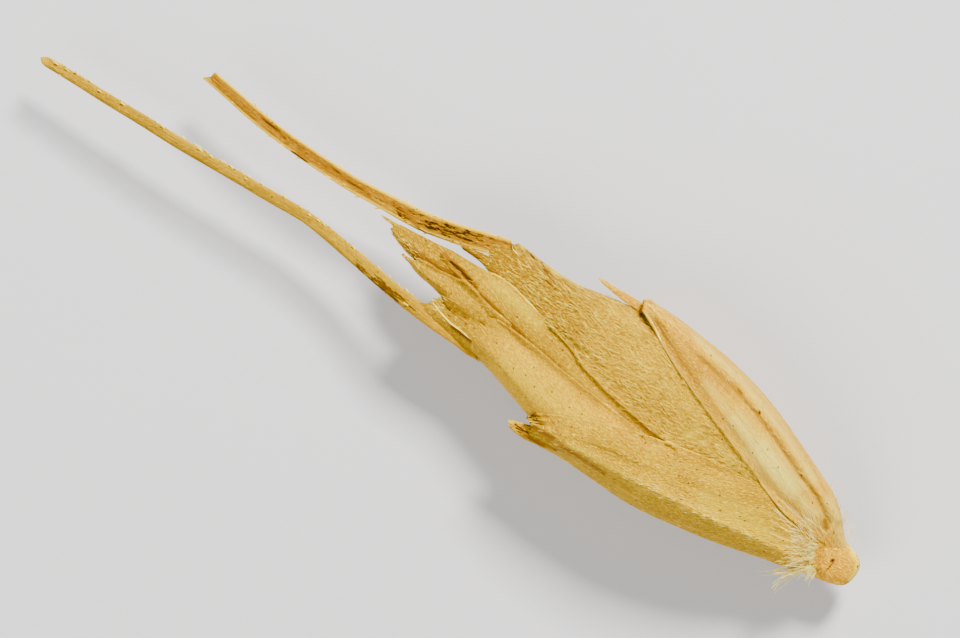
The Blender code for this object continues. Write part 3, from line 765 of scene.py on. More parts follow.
def blend_colours(tree, share, first, second):
    """The first colour at a share of 0, the second at 1."""
    mix = add(tree, "ShaderNodeMix", data_type="RGBA", clamp_factor=True)
    feed(tree, (mix.inputs[0], mix.inputs[6], mix.inputs[7]), (share, first, second))
    return mix.outputs[2]


def reckon(tree, operation, *terms, clamp=False):
    made = add(tree, "ShaderNodeMath", operation=operation, use_clamp=clamp)
    feed(tree, made.inputs, terms)
    return made.outputs[0]


def times(tree, first, second):
    return reckon(tree, "MULTIPLY", first, second)


def plus(tree, first, second):
    return reckon(tree, "ADD", first, second)


def over(tree, colour, share, strength, tint):
    """The colour with a tint laid over a share of it."""
    return blend_colours(tree, times(tree, share, strength), colour, tone(*tint))


def between(tree, value, low, high):
    """0 up to low, 1 from high on, and smooth between."""
    span = {"From Min": low, "From Max": high}
    made = add(tree, "ShaderNodeMapRange", span, {"Value": value}, interpolation_type="SMOOTHSTEP")
    return made.outputs["Result"]


def kept_value(tree, key, output="Fac"):
    """A value that the mesh keeps at its points."""
    return add(tree, "ShaderNodeAttribute", attribute_name=key).outputs[output]


def object_place(tree):
    return add(tree, "ShaderNodeTexCoord").outputs["Object"]


def cloud(tree, place, scale, detail=3.0, roughness=0.55, distortion=0.0):
    values = {"Scale": 1.0, "Detail": detail, "Roughness": roughness, "Distortion": distortion}
    stretched = add(tree, "ShaderNodeMapping", {"Scale": scale}, {"Vector": place})
    return add(tree, "ShaderNodeTexNoise", values, {"Vector": stretched.outputs[0]}).outputs["Fac"]


def specks(tree, place, pitch, size, share):
    """1 in small scattered dots, each in its own cell of the given pitch."""
    scaled = add(tree, "ShaderNodeMapping", {"Scale": (1 / pitch,) * 3}, {"Vector": place})
    cells = add(
        tree, "ShaderNodeTexVoronoi", {"Scale": 1.0, "Randomness": 1.0}, {"Vector": scaled.outputs[0]},
        voronoi_dimensions="2D",
    )
    dot = reckon(tree, "LESS_THAN", cells.outputs["Distance"], size / pitch)
    pick = add(tree, "ShaderNodeSeparateColor", links={"Color": cells.outputs["Color"]})
    return times(tree, dot, reckon(tree, "LESS_THAN", pick.outputs[0], share))


def dress(tree, shader, colour, relief, bump, settings):
    """Links a colour and a relief to the shader, and gives it its other settings."""
    tree.links.new(colour, shader.inputs["Base Color"])
    if relief is not None:
        strength, distance = bump
        raised = add(tree, "ShaderNodeBump", {"Strength": strength, "Distance": distance}, {"Height": relief})
        tree.links.new(raised.outputs[0], shader.inputs["Normal"])
    for key, value in settings.items():
        shader.inputs[key].default_value = value


def chaff_finish(
    name, dark, base, light, streak=0.5, down=0.3, olive=0.25, speck_share=0.35,
    roughness=0.6, amber=AMBER, brown=BROWN, cream=CREAM, dashes=0.0, grain=1.0,
):
    """Dry chaff: lengthwise streaks, a mottled tone, dark specks, stains with painted shadows, paler parts
    with painted highlights, and a downy or veined relief.
    """
    material, tree, shader = new_finish(name)
    lay = kept_value(tree, "lay", "Vector")
    stain_and_shadow, pale_and_highlight, shade, root = (kept_value(tree, key) for key in ("stain_and_shadow", "pale_and_highlight", "shade", "root"))
    in_mm = {"Scale": (1 / MM,) * 3}
    solid = add(tree, "ShaderNodeMapping", in_mm, {"Vector": object_place(tree)}).outputs[0]

    broad = cloud(tree, lay, (2.2, 0.22, 1.0), detail=4.0)
    fine = cloud(tree, lay, (9.0, 0.7, 1.0), detail=3.0)
    hairline = cloud(tree, lay, (26.0, 2.2, 1.0), detail=2.0)
    mottle = cloud(tree, solid, (0.45, 0.45, 0.45), detail=5.0, roughness=0.6)
    dust = cloud(tree, solid, (14.0, 14.0, 14.0), detail=2.0)
    fibre = cloud(tree, lay, (20.0, 5.0, 1.0), detail=2.5, roughness=0.65)
    streaks = plus(tree, times(tree, broad, 0.45), times(tree, fine, 0.35))
    streaks = plus(tree, streaks, times(tree, hairline, 0.20))

    # Each tint shows where its field goes from the first value to the second
    colour = tone(*base)
    for field, low, high, strength, tint in (
        (streaks, 0.50, 0.38, streak, dark),
        (streaks, 0.50, 0.64, streak, light),
        (mottle, 0.52, 0.72, olive, OLIVE),
        (mottle, 0.46, 0.30, 0.5, light),
    ):
        colour = over(tree, colour, between(tree, field, low, high), strength, tint)
    # deeper tone, and painted shade, towards the dark tone
    colour = blend_colours(tree, shade, colour, tone(*dark))
    colour = blend_colours(tree, root, colour, tone(*ROOT_GOLD))
    grains = times(tree, root, specks(tree, lay, 0.15, 0.045, 0.45))
    colour = over(tree, colour, grains, 0.8, ROOT_AMBER)
    for field, low, high, strength, tint in (
        (dust, 0.52, 0.64, grain * 0.6, dark),
        (fibre, 0.53, 0.64, grain * 0.7, dark),
        (fibre, 0.46, 0.34, grain * 0.75, cream),
    ):
        colour = over(tree, colour, between(tree, field, low, high), strength, tint)
    # paler margins, and painted highlights, towards cream
    colour = blend_colours(tree, pale_and_highlight, colour, tone(*cream))

    # stains, and painted shadows, in amber and then brown
    patchy = times(tree, stain_and_shadow, plus(tree, 0.55, times(tree, fine, 0.9)))
    colour = blend_colours(tree, between(tree, patchy, 0.08, 0.50), colour, tone(*amber))
    colour = blend_colours(tree, between(tree, patchy, 0.45, 0.95), colour, tone(*brown))
    if dashes:
        strokes = cloud(tree, lay, (10.0, 1.9, 1.0), detail=2.5, roughness=0.75)
        floor = reckon(tree, "SUBTRACT", 0.78, times(tree, kept_value(tree, "dash"), 0.25))
        dark_share = reckon(tree, "MULTIPLY", reckon(tree, "SUBTRACT", strokes, floor), 30.0, clamp=True)
        colour = over(tree, colour, dark_share, dashes, brown)
    colour = over(tree, colour, specks(tree, lay, 0.85, 0.045, speck_share), 0.85, SPECK_BROWN)

    fuzz = cloud(tree, lay, (11.0, 2.6, 1.0), detail=2.5, roughness=0.6, distortion=0.8)
    relief = times(tree, fine, 0.5)
    for field, height in ((hairline, 0.35), (fuzz, down), (dust, 0.2 * grain), (fibre, -0.9 * grain)):
        relief = plus(tree, relief, times(tree, field, height))
    tree.links.new(plus(tree, roughness - 0.1, times(tree, fuzz, 0.25)), shader.inputs["Roughness"])
    dress(tree, shader, colour, relief, (1.0, RELIEF), {
        "Specular IOR Level": 0.2, "Specular Tint": (1.0, 0.62, 0.05, 1.0), "Subsurface Weight": 0.12,
        "Subsurface Radius": (1.0, 0.55, 0.1), "Subsurface Scale": 0.0004,
    })
    return material


def inner_finish(name, dark, base, roughness):
    """A plain-grained finish for what lies inside the florets."""
    material, tree, shader = new_finish(name)
    streak = cloud(tree, object_place(tree), (5200.0, 500.0, 5200.0), detail=4.0)
    patch = cloud(tree, object_place(tree), (600.0, 300.0, 600.0), detail=3.0)
    share = plus(tree, times(tree, streak, 0.6), times(tree, patch, 0.4))
    colour = blend_colours(tree, between(tree, share, 0.35, 0.65), tone(*dark), tone(*base))
    dress(tree, shader, colour, streak, (0.5, 0.00005), {"Roughness": roughness})
    return material


def hair_finish(name, root, tip):
    """Fine dry hairs, a little deeper in tone here and there."""
    material, tree, shader = new_finish(name)
    share = cloud(tree, object_place(tree), (2600.0, 2600.0, 2600.0), detail=2.0)
    colour = blend_colours(tree, between(tree, share, 0.35, 0.6), tone(*root), tone(*tip))
    dress(tree, shader, colour, None, None, {
        "Roughness": 0.5, "Specular Tint": (1.0, 0.7, 0.15, 1.0), "Subsurface Weight": 0.2,
        "Subsurface Radius": (1.0, 0.7, 0.4), "Subsurface Scale": 0.0003,
    })
    return material


# Hairs


def hair_tree():
    """Hairs over a bed: as dense as the bed's own "hairy" says, and lying along its "along"."""
    tree = bpy.data.node_groups.new("hairs", "GeometryNodeTree")
    face = tree.interface
    face.new_socket("Bed", in_out="INPUT", socket_type="NodeSocketGeometry")
    for label, kind, value in (
        ("Density", "NodeSocketFloat", 1.0e6),
        ("Length", "NodeSocketFloat", 0.0005),
        ("Slimness", "NodeSocketFloat", 0.03),
        ("Lift", "NodeSocketFloat", 0.3),
        ("Unruliness", "NodeSocketFloat", 0.2),
        ("Bend", "NodeSocketFloat", 0.15),
        ("Seed", "NodeSocketInt", 1),
        ("Finish", "NodeSocketMaterial", None),
    ):
        socket = face.new_socket(label, in_out="INPUT", socket_type=kind)
        if value is not None:
            socket.default_value = value
    face.new_socket("Hairs", in_out="OUTPUT", socket_type="NodeSocketGeometry")
    given = tree.nodes.new("NodeGroupInput").outputs
    out = tree.nodes.new("NodeGroupOutput")

    def vector(operation, first, second=None, scale=None):
        made = add(tree, "ShaderNodeVectorMath", operation=operation)
        for socket, term in zip(made.inputs, (first, second)):
            if term is not None:
                tree.links.new(term, socket)
        if scale is not None:
            tree.links.new(scale, made.inputs["Scale"])
        return made.outputs[0]

    def drawn(kind, span):
        seed = {"Seed": given["Seed"]}
        return add(tree, "FunctionNodeRandomValue", span, seed, data_type=kind)

    hairy, along = (
        add(tree, "GeometryNodeInputNamedAttribute", {"Name": key}, data_type=kind).outputs["Attribute"]
        for key, kind in (("hairy", "FLOAT"), ("along", "FLOAT_VECTOR"))
    )
    density = times(tree, hairy, given["Density"])
    scatter = add(
        tree, "GeometryNodeDistributePointsOnFaces",
        links={"Mesh": given["Bed"], "Density": density, "Seed": given["Seed"]},
    )
    stray = drawn("FLOAT_VECTOR", {0: (-1.0,) * 3, 1: (1.0,) * 3}).outputs[0]
    away = vector("SCALE", scatter.outputs["Normal"], scale=given["Lift"])
    aim = vector("ADD", vector("ADD", along, away), vector("SCALE", stray, scale=given["Unruliness"]))
    turn = add(tree, "FunctionNodeAlignRotationToVector", links={"Vector": aim}, axis="Z")
    roll = drawn("FLOAT_VECTOR", {0: (0.0, 0.0, 0.0), 1: (0.0, 0.0, DRAWN_TURN)}).outputs[0]
    rolled = add(
        tree, "FunctionNodeRotateRotation",
        links={"Rotation": turn.outputs[0], "Rotate By": roll}, rotation_space="LOCAL",
    )
    vary = drawn("FLOAT", {2: 0.55, 3: 1.25}).outputs[1]
    size = times(tree, vary, given["Length"])

    knee = add(tree, "ShaderNodeCombineXYZ", {"Z": 0.5})
    end = add(tree, "ShaderNodeCombineXYZ", {"Z": 1.0}, {"X": given["Bend"]})
    arc = add(
        tree, "GeometryNodeCurveQuadraticBezier", {"Resolution": 3, "Start": (0.0, 0.0, 0.0)},
        {"Middle": knee.outputs[0], "End": end.outputs[0]},
    )
    along_hair = add(tree, "GeometryNodeSplineParameter").outputs["Factor"]
    taper = reckon(tree, "SUBTRACT", 1.0, times(tree, along_hair, 0.85))
    tapered = add(tree, "GeometryNodeSetCurveRadius", links={"Curve": arc.outputs[0], "Radius": taper})
    ring = add(tree, "GeometryNodeCurvePrimitiveCircle", {"Resolution": 3}, {"Radius": given["Slimness"]})
    hair = add(
        tree, "GeometryNodeCurveToMesh", {"Fill Caps": True},
        {"Curve": tapered.outputs[0], "Profile Curve": ring.outputs[0]},
    )
    copies = add(
        tree, "GeometryNodeInstanceOnPoints",
        links={
            "Points": scatter.outputs["Points"], "Instance": hair.outputs[0],
            "Rotation": rolled.outputs[0], "Scale": size,
        },
    )
    real = add(tree, "GeometryNodeRealizeInstances", links={"Geometry": copies.outputs[0]}).outputs[0]
    dressed = add(tree, "GeometryNodeSetMaterial", links={"Geometry": real, "Material": given["Finish"]})
    tree.links.new(dressed.outputs[0], out.inputs[0])
    return tree


def hairs(name, beds, tree, material, density, length, slimness, lift, unruly, bend, seed):
    """Hairs grown on the beds' meshes, as one piece."""
    gathered = bmesh.new()
    for order, bed in enumerate(beds):
        host = in_scene(name + "_bed", bed)
        grow = host.modifiers.new("hairs", "NODES")
        grow.node_group = tree
        inputs = {item.name: item.identifier for item in tree.interface.items_tree if item.in_out == "INPUT"}
        for label, value in (
            ("Density", density * 1e6), ("Length", length * MM), ("Slimness", slimness), ("Lift", lift),
            ("Unruliness", unruly), ("Bend", bend), ("Seed", seed + order), ("Finish", material),
        ):
            grow[inputs[label]] = value
        bpy.context.view_layer.update()
        graph = bpy.context.evaluated_depsgraph_get()
        grown = bpy.data.meshes.new_from_object(host.evaluated_get(graph))
        gathered.from_mesh(grown)
        bpy.data.objects.remove(host)
        bpy.data.meshes.remove(grown)
    mesh = bpy.data.meshes.new(name)
    gathered.to_mesh(mesh)
    gathered.free()
    mesh.shade_smooth()
    placed(name, mesh, material)


def strip_bed(name, rows, width):
    """A narrow bed for a tuft: where its hairs grow, and where they aim."""
    spots, along = [], []
    for x, y, rise, aim in rows:
        spot = np.array([x, y, float(middle(y)) + rise])
        spots += [spot - [0, width / 2, 0], spot + [0, width / 2, 0]]
        along += [np.array(aim, float) / np.linalg.norm(aim)] * 2
    faces = [(2 * i, 2 * i + 2, 2 * i + 3, 2 * i + 1) for i in range(len(rows) - 1)]
    return mesh_from(name, spots, faces, {"hairy": np.ones(len(spots))}, {"along": along})


# The finishes in use


def all_looks():
    """Every finish of the spikelet, by what wears it: dark, middle and light tone, then its grain."""
    look = SimpleNamespace()
    look.glume = chaff_finish(
        "glume_straw", (160, 112, 1), (206, 157, 1), (242, 194, 3), streak=0.9, down=0.4, olive=0.15,
        speck_share=0.40,
    )
    # Its cream is also the tone of the highlight painted on this glume
    look.upper = chaff_finish(
        "upper_glume_straw", (170, 118, 1), (226, 166, 1), (255, 206, 3), streak=0.85, down=0.10, olive=0.05,
        speck_share=0.35, roughness=0.5, cream=(255, 228, 96), grain=0.7, amber=(152, 104, 1),
    )
    look.downy = chaff_finish(
        "downy_lemma_straw", (156, 110, 1), (210, 158, 1), (246, 194, 3), streak=0.6, down=0.9, olive=0.10,
        speck_share=0.25, roughness=0.65,
    )
    look.smooth = chaff_finish(
        "smooth_lemma_straw", (160, 116, 1), (232, 174, 1), (254, 206, 3), streak=0.5, down=0.1, olive=0.10,
        speck_share=0.5, roughness=0.55,
    )
    look.lobe = chaff_finish(
        "lobe_straw", (156, 108, 1), (200, 152, 1), (242, 194, 3), streak=0.5, down=0.35, olive=0.10,
        speck_share=0.4,
    )
    look.long_awn = chaff_finish(
        "awn_straw", (126, 92, 1), (166, 127, 2), (200, 158, 4), streak=0.6, down=0.3, olive=0.2,
        speck_share=0.3, roughness=0.7, dashes=0.9, grain=0.4, cream=(236, 200, 20),
    )
    look.short_awn = chaff_finish(
        "awn_amber", (108, 66, 1), (148, 98, 1), (196, 144, 4), streak=0.8, down=0.3, olive=0.1,
        speck_share=0.3, roughness=0.6, dashes=1.0, grain=0.35, brown=(46, 23, 2), cream=(240, 200, 30),
    )
    look.stalk = chaff_finish(
        "stalk_straw", (194, 134, 1), (222, 158, 1), (242, 184, 3), streak=0.35, down=0.2, olive=0.0,
        speck_share=0.2, roughness=0.65, grain=0.85, cream=(255, 234, 60),
    )
    look.down_hair = hair_finish("down", (220, 168, 6), (255, 226, 48))
    look.barb_hair = hair_finish("barbs", (236, 196, 30), (255, 234, 90))
    look.tuft_hair = hair_finish("tuft", (255, 226, 70), (255, 246, 140))
    look.thin_edge = hair_finish("thin_edge", (236, 190, 24), (255, 232, 90))
    return look


# The bracts. Each mark is a line, its width and its strength.


def two_lobes():
    """The lobes between the awns. The fourth lemma, on the right, runs down into the middle strip."""
    fourth = Sheet(FOURTH_LEMMA, FOURTH_TOP, front=60, back=20, rows=190, ragged=0.16, seed=16)
    fourth.folds(71, 0.02, fineness=0.8, stretch=9)
    fourth.veins((0.2, 0.4, 0.6, 0.8), 0.02, 0.06)
    fourth.ridge(((-0.42, 24.27), (-0.60, 23.5), (-0.72, 22.6), (-0.80, 21.8)), 0.07, 0.10)
    fourth.ridge(((-0.42, 24.27), (-0.30, 23.6), (-0.24, 23.0)), 0.05, 0.06)
    margin_line = ((-0.94, 10.5), (-0.9, 12.0), (-0.78, 14.0), (-0.56, 15.5), (-0.12, 17.0), (0.0, 18.3))
    for line, width, strength in (
        (((-0.42, 24.3), (-0.40, 23.6), (-0.46, 22.8), (-0.60, 22.1)), 0.20, 0.55),
        (((-0.38, 23.8), (-0.45, 23.0), (-0.52, 22.4)), 0.11, 1.05),
        # painted shadow of the left lobe's margin, and painted shade in the valley below it
        (((-1.22, 26.0), (-1.02, 24.4), (-0.80, 23.2), (-0.70, 22.4)), 0.26, 0.50),
        (((-0.70, 22.4), (-0.84, 21.2), (-0.98, 20.0), (-1.10, 18.8)), 0.20, 0.50),
        # painted shade in the valley beside the first lemma's margin
        (((-1.2, 20.2), (-1.25, 18.0), (-1.35, 15.0)), 0.20, 0.16),
        # painted shadow along the second lemma's margin
        (margin_line, 0.12, 0.18),
    ):
        fourth.mark(line, width, strength)
    # Painted shade in the valley beside the left lobe and the first lemma
    fourth.deepen(((-1.0, 21.0), (-1.15, 18.5), (-1.1, 16.5)), 0.35, 0.7)
    fourth.deepen(((-0.9, 26.6), (-0.3, 25.0), (0.0, 23.6)), 0.4, 0.45)
    fourth.rim(18.6, 22.4, 0.7, 0.05)
    # Painted highlight on the convex bulge of the middle strip
    fourth.lighten(((0.0, 21.6), (0.0, 20.0), (-0.2, 18.6)), 0.32, 0.28)
    fourth.hairy = 0.35 * fourth.front * (fourth.y > 19)

    third = Sheet(THIRD_LEMMA, THIRD_TOP, front=30, back=16, rows=100, ragged=0.22, seed=15)
    third.folds(61, 0.02, fineness=0.8, stretch=9)
    third.veins((0.25, 0.55, 0.8), 0.02, 0.06)
    third.drop([fourth], 0.45, low=19.0)
    # Painted shade along the right margin, where it falls into the valley
    third.mark(((-1.15, 24.6), (-0.95, 23.4), (-0.8, 22.4), (-0.95, 21.2)), 0.13, 0.30)
    third.hairy = 0.35 * third.front
    return third, fourth


def awned_lemmas(third, fourth):
    """The lemmas of the two florets, which carry the awns."""
    first = Sheet(FIRST_LEMMA, FIRST_TOP, front=64, back=28, rows=190, ragged=0.22, seed=13)
    first.folds(41, 0.03, fineness=0.5, stretch=9)
    first.folds(42, 0.010, fineness=2.0, stretch=12)
    first.veins((0.15, 0.35, 0.55, 0.75), 0.022, 0.09)
    first.drop([fourth, third], 1.0, low=9.4, high=23.4)
    # Painted shade in the crack beside the awn's strip
    first.mark(((-2.84, 20.6), (-2.82, 21.2), (-2.84, 21.8)), 0.09, 0.72)
    first.mark(((-2.0, 22.6), (-1.75, 21.6), (-1.4, 20.4)), 0.22, 0.16)
    for x, y in (
        (-2.22, 20.9), (-2.3, 21.3), (-2.08, 21.55), (-1.8, 20.8), (-1.78, 20.6), (-1.0, 20.4), (-2.5, 22.2),
    ):
        first.mark(((x, y), (x - 0.01, y + 0.06)), 0.045, 0.9)
    # Painted highlight along the crown
    first.lighten(((-2.9, 14.5), (-2.6, 18.4)), 0.6, 0.22)
    first.shade = 0.85 * between_heights(first.y, 18.8, 21.6)
    # Painted shade in the valley between the margin and the middle strip
    first.deepen(((-1.15, 19.6), (-1.2, 17.0), (-1.3, 14.0)), 0.3, 0.6)
    first.hairy = 0.06 * first.front

    second = Sheet(SECOND_LEMMA, SECOND_TOP, front=70, back=28, rows=200, ragged=0.12, seed=14)
    second.folds(51, 0.03, fineness=0.5, stretch=9)
    second.folds(52, 0.012, fineness=2.0, stretch=10)
    second.veins((0.12, 0.3, 0.5, 0.7, 0.88), 0.022, 0.09)
    second.drop([fourth], 1.0, low=8.0, high=18.6)
    second.shade = 0.85 * between_heights(second.y, 15.5, 18.5)
    for line, width, strength in (
        (((1.7, 18.4), (1.9, 20.0), (2.1, 21.3)), 0.30, 0.26),
        (((2.34, 21.2), (2.24, 20.5)), 0.07, 0.85),
        (((2.12, 20.1), (1.98, 19.2)), 0.07, 0.85),
        (((2.3, 20.3), (2.12, 19.5)), 0.07, 0.85),
        (((1.8, 19.8), (1.7, 19.0)), 0.07, 0.85),
        # painted shadow beside the right lobe's edge
        (((0.55, 18.7), (0.66, 20.4), (0.6, 22.0)), 0.16, 0.22),
        (((0.44, 24.0), (0.50, 23.3), (0.58, 22.7)), 0.10, 0.8),
        (((0.36, 24.0), (0.46, 23.6)), 0.12, 1.1),
        # painted shade beside the upper glume's curled margin
        (((3.40, 15.05), (3.14, 14.5), (2.88, 13.9)), 0.20, 0.32),
    ):
        second.mark(line, width, strength)
    second.lighten(((2.6, 18.0), (2.3, 20.2), (2.35, 21.6)), 0.10, 0.5)
    second.rim(10.0, 18.2, 0.55, 0.05)
    second.lighten(((1.3, 9.0), (1.2, 14.0)), 0.7, 0.10)
    # Painted light that lifts the low part, which the upper glume shades
    second.lighten(((0.1, 5.0), (0.3, 7.6), (0.2, 9.4)), 0.55, 0.45)
    bare_top = 1.0 - 0.85 * between_heights(second.y, 20.6, 21.8)
    low_patch = near(second.x, second.y, ((0.45, 5.2), (0.2, 7.4), (0.5, 9.0)), 0.4) * second.front
    second.hairy = second.front * np.clip(1.2 - 0.3 * np.abs(second.x - 1.0), 0.25, 1.0)
    second.hairy *= between_heights(-second.across, 0.2, 0.8) * bare_top
    second.hairy += 1.2 * low_patch
    fourth.drop([second], 0.4, low=18.2, high=23.0, gap=0.06)
    return first, second


def two_glumes(first, second, fourth):
    """The two outer bracts, which lie over the foot of the lemmas."""
    lower = Sheet(LOWER_GLUME, LOWER_TOP, front=64, back=30, rows=170, press=REST_PRESS, ragged=0.16, seed=11)
    lower.folds(21, 0.035, fineness=0.6, stretch=9)
    lower.folds(22, 0.014, fineness=2.2, stretch=14)
    lower.veins((0.1, 0.5, 0.62, 0.74, 0.87), 0.04, 0.09)
    lower.ridge(LOWER_KEEL, 0.23, 0.15)
    lower.ridge([(x + 0.55, y) for x, y in LOWER_KEEL], 0.22, -0.05)
    lower.drop([first, second, fourth], 1.0, low=5.4, soft=2.0)
    for line, width, strength in (
        (((-3.9, 11.6), (-4.02, 13.0), (-4.1, 14.0)), 0.14, 0.42),
        (((-4.77, 15.5), (-4.66, 14.71), (-4.46, 14.1)), 0.12, 0.55),
        (((-4.1, 14.6), (-4.2, 15.6), (-4.3, 16.2)), 0.20, 0.45),
        (((-3.75, 15.4), (-4.0, 16.0)), 0.14, 0.35),
        (((-1.5, 1.0), (-1.9, 3.2)), 0.3, 0.12),
        (((-1.3, 0.55), (-1.15, 0.95)), 0.12, 0.36),
    ):
        lower.mark(line, width, strength)
    lower.deepen(((-4.45, 15.6), (-4.3, 14.6), (-4.1, 13.4)), 0.22, 0.6)
    lower.root = 1.0 - between_heights(lower.y, 0.6, 4.0)
    # Paler along the keel: its pale hairs, and a painted highlight on the ridge
    lower.lighten(LOWER_KEEL[1:-1], 0.14, 0.30)
    # Painted highlight along the crown
    lower.lighten(((-1.1, 2.2), (-1.4, 4.4), (-1.9, 7.0)), 0.6, 0.28)
    # Painted shade on the outer flank, which faces away from the light
    lower.deepen(((-3.5, 6.0), (-4.1, 9.0), (-4.35, 12.0)), 0.35, 0.22)
    lower.rim(8.0, 15.6, 0.35, 0.06)
    lower.on_surface()

    top = Sheet(UPPER_GLUME, UPPER_TOP, front=64, back=30, rows=170, press=REST_PRESS, ragged=0.08, seed=12)
    top.folds(31, 0.03, fineness=0.6, stretch=9)
    top.folds(32, 0.016, fineness=2.4, stretch=14)
    top.veins((0.1, 0.62, 0.75, 0.88), 0.04, 0.09)
    top.ridge(UPPER_KEEL, 0.20, 0.18)
    top.ridge(UPPER_GROOVE, 0.13, -0.13)
    top.drop([lower, second], 0.8, low=0.6, high=14.9, soft=1.6, even=6)
    for line, width, strength in (
        (UPPER_GROOVE, 0.18, 0.34),
        (((0.72, 1.35), (0.92, 1.62)), 0.17, 0.50),
        (((3.31, 8.75), (3.33, 9.05)), 0.07, 0.6),
        (((3.06, 7.46), (3.10, 7.50)), 0.05, 1.5),
    ):
        top.mark(line, width, strength)
    top.shade = 0.6 * between_heights(top.y, 7.8, 11.0) * (1.0 - between_heights(top.x, 3.2, 3.9))
    # Painted highlights: a broad one on the crown, and one along the keel side that faces the light
    for line, width, strength in (
        (((0.6, -0.1), (1.05, 0.9), (1.7, 2.0)), 0.42, 0.45),
        (((0.8, 2.4), (1.2, 4.0)), 0.42, 0.5),
        (((1.2, 4.0), (1.65, 6.4)), 0.62, 0.9),
        (((1.65, 6.4), (2.1, 8.2)), 0.45, 0.6),
        (((2.1, 8.2), (2.6, 10.4)), 0.26, 0.3),
        (((2.2, 3.4), (3.1, 6.2), (3.7, 8.8), (4.0, 12.0)), 0.24, 0.40),
    ):
        top.lighten(line, width, strength)
    top.rim(3.0, 15.4, 0.45, 0.05)
    top.on_surface()
    return lower, top


def thin_edges(first, second, fourth, lower, top, look):
    """Thin bright edges, where a bract's margin is dry and turned up a little."""
    first_tree, second_tree = [first.tree()], [second.tree()]
    torn_edge = ((-2.46, 23.35), (-2.65, 22.65), (-2.75, 21.96), (-2.72, 21.35), (-2.77, 20.6))
    edges("lemma_edges", (
        *broken(margin(second, 10.6, 17.8), 0.019, 1),
        *broken(margin(fourth, 18.9, 22.3), 0.036, 2),
        (laid(torn_edge, first_tree), 0.040),
        (laid(((-2.77, 20.6), (-3.08, 20.37), (-3.2, 20.1)), first_tree), 0.035),
        (laid(((0.36, 24.0), (0.42, 23.4), (0.52, 22.8)), second_tree), 0.025),
        (laid(((2.24, 22.0), (1.98, 21.82), (1.88, 21.36), (1.72, 21.5)), second_tree, 0.26), 0.035),
    ), look.thin_edge)
    edges("glume_edges", (
        *broken(margin(top, 3.4, 13.4), 0.015, 3),
        (margin(top, 13.2, 15.0), 0.035),
        *broken(margin(lower, 6.5, 15.3), 0.011, 4),
    ), look.thin_edge)


def two_awns(look):
    """The long awn and the shorter, split one. Returns their surfaces, for the barbs."""
    def long_rise(y):
        return 0.66 + 0.12 * between_heights(y, 20.0, 21.5) - 0.78 * between_heights(y, 22.8, 28.0)

    def short_rise(y):
        return 0.98 - 0.98 * between_heights(y, 21.8, 27.0)

    cut = ((-1.0, -0.2), (0.0, 0.1), (1.0, 0.5))
    awn = Rod(FIRST_AWN, long_rise, 230, depth=0.8, groove=0.08, foot=cut, seed=5)
    outer = np.clip(awn.side, 0, 1)
    awn.dash = 1.3 * np.exp(-(((awn.height - 25.6) / 2.4) ** 2)) * (awn.side < 0.2)
    awn.dash += 0.12
    awn.root = 0.45 * (1 - between_heights(awn.height, 21.0, 25.5))
    # Painted highlight down the side that faces the light, and a pale tip
    awn.pale_and_highlight = 0.25 * outer ** 4 + 0.6 * between_heights(awn.height, 45.2, 45.8)
    awn.hairy = (1.6 * outer ** 3 * np.clip(awn.over + 0.5, 0, 1) + 0.03) * (awn.height > AWN_FOOT)
    long_mesh = awn.mesh("first_awn_rod", round_tip=0.10)
    beds = [long_mesh.copy()]
    placed("first_awn_rod", closed(long_mesh), look.long_awn, "first_lemma")

    fork = ((-1.0, 0.26), (-0.8, 0.30), (-0.52, -0.30), (-0.3, -0.10), (0.4, 0.0), (0.7, 0.05), (1.0, -0.04))
    cut = ((-1.0, -0.35), (-0.4, -0.1), (0.2, 0.05), (0.5, 0.38), (1.0, 0.52))
    awn = Rod(SECOND_AWN, short_rise, 200, depth=0.62, groove=0.34, tip=fork, foot=cut, seed=6)
    off_middle = np.abs(awn.side)
    awn.dash = 1.12 * np.exp(-(((awn.height - 25.2) / 4.2) ** 2))
    awn.dash += 0.5 * np.exp(-(((awn.height - 34.0) / 2.5) ** 2))
    awn.dash = (awn.dash + 0.1) * np.clip(1.2 - off_middle, 0, 1) ** 0.5
    awn.pale_and_highlight = 0.9 * np.clip((off_middle - 0.60) / 0.25, 0, 1) * (awn.over > -0.2)
    awn.stain_and_shadow = 0.22 * np.clip(1.0 - off_middle * 1.2, 0, 1) * (awn.over > 0)
    awn.stain_and_shadow += 0.9 * near(awn.x, awn.y, ((2.24, 22.06), (2.02, 21.92), (1.90, 21.5)), 0.06) * (awn.over > 0)
    for line, width, strength in (
        (((0.16, 35.45), (0.04, 33.9)), 0.06, 1.0),
        (((-0.34, 33.3), (-0.32, 32.4)), 0.06, 0.9),
        (((0.18, 31.4), (0.0, 30.0), (-0.08, 28.9)), 0.07, 0.7),
        (((0.1, 27.8), (-0.1, 26.6)), 0.08, 0.6),
    ):
        awn.stain_and_shadow += strength * near(awn.side * 0.4, awn.height, line, width) * (awn.over > -0.2)
    awn.hairy = 0.15 * (awn.height > AWN_FOOT) * (off_middle > 0.8)
    short_mesh = awn.mesh("second_awn_rod")
    beds.append(short_mesh.copy())
    placed("second_awn_rod", closed(short_mesh), look.short_awn, "second_lemma")
    return beds


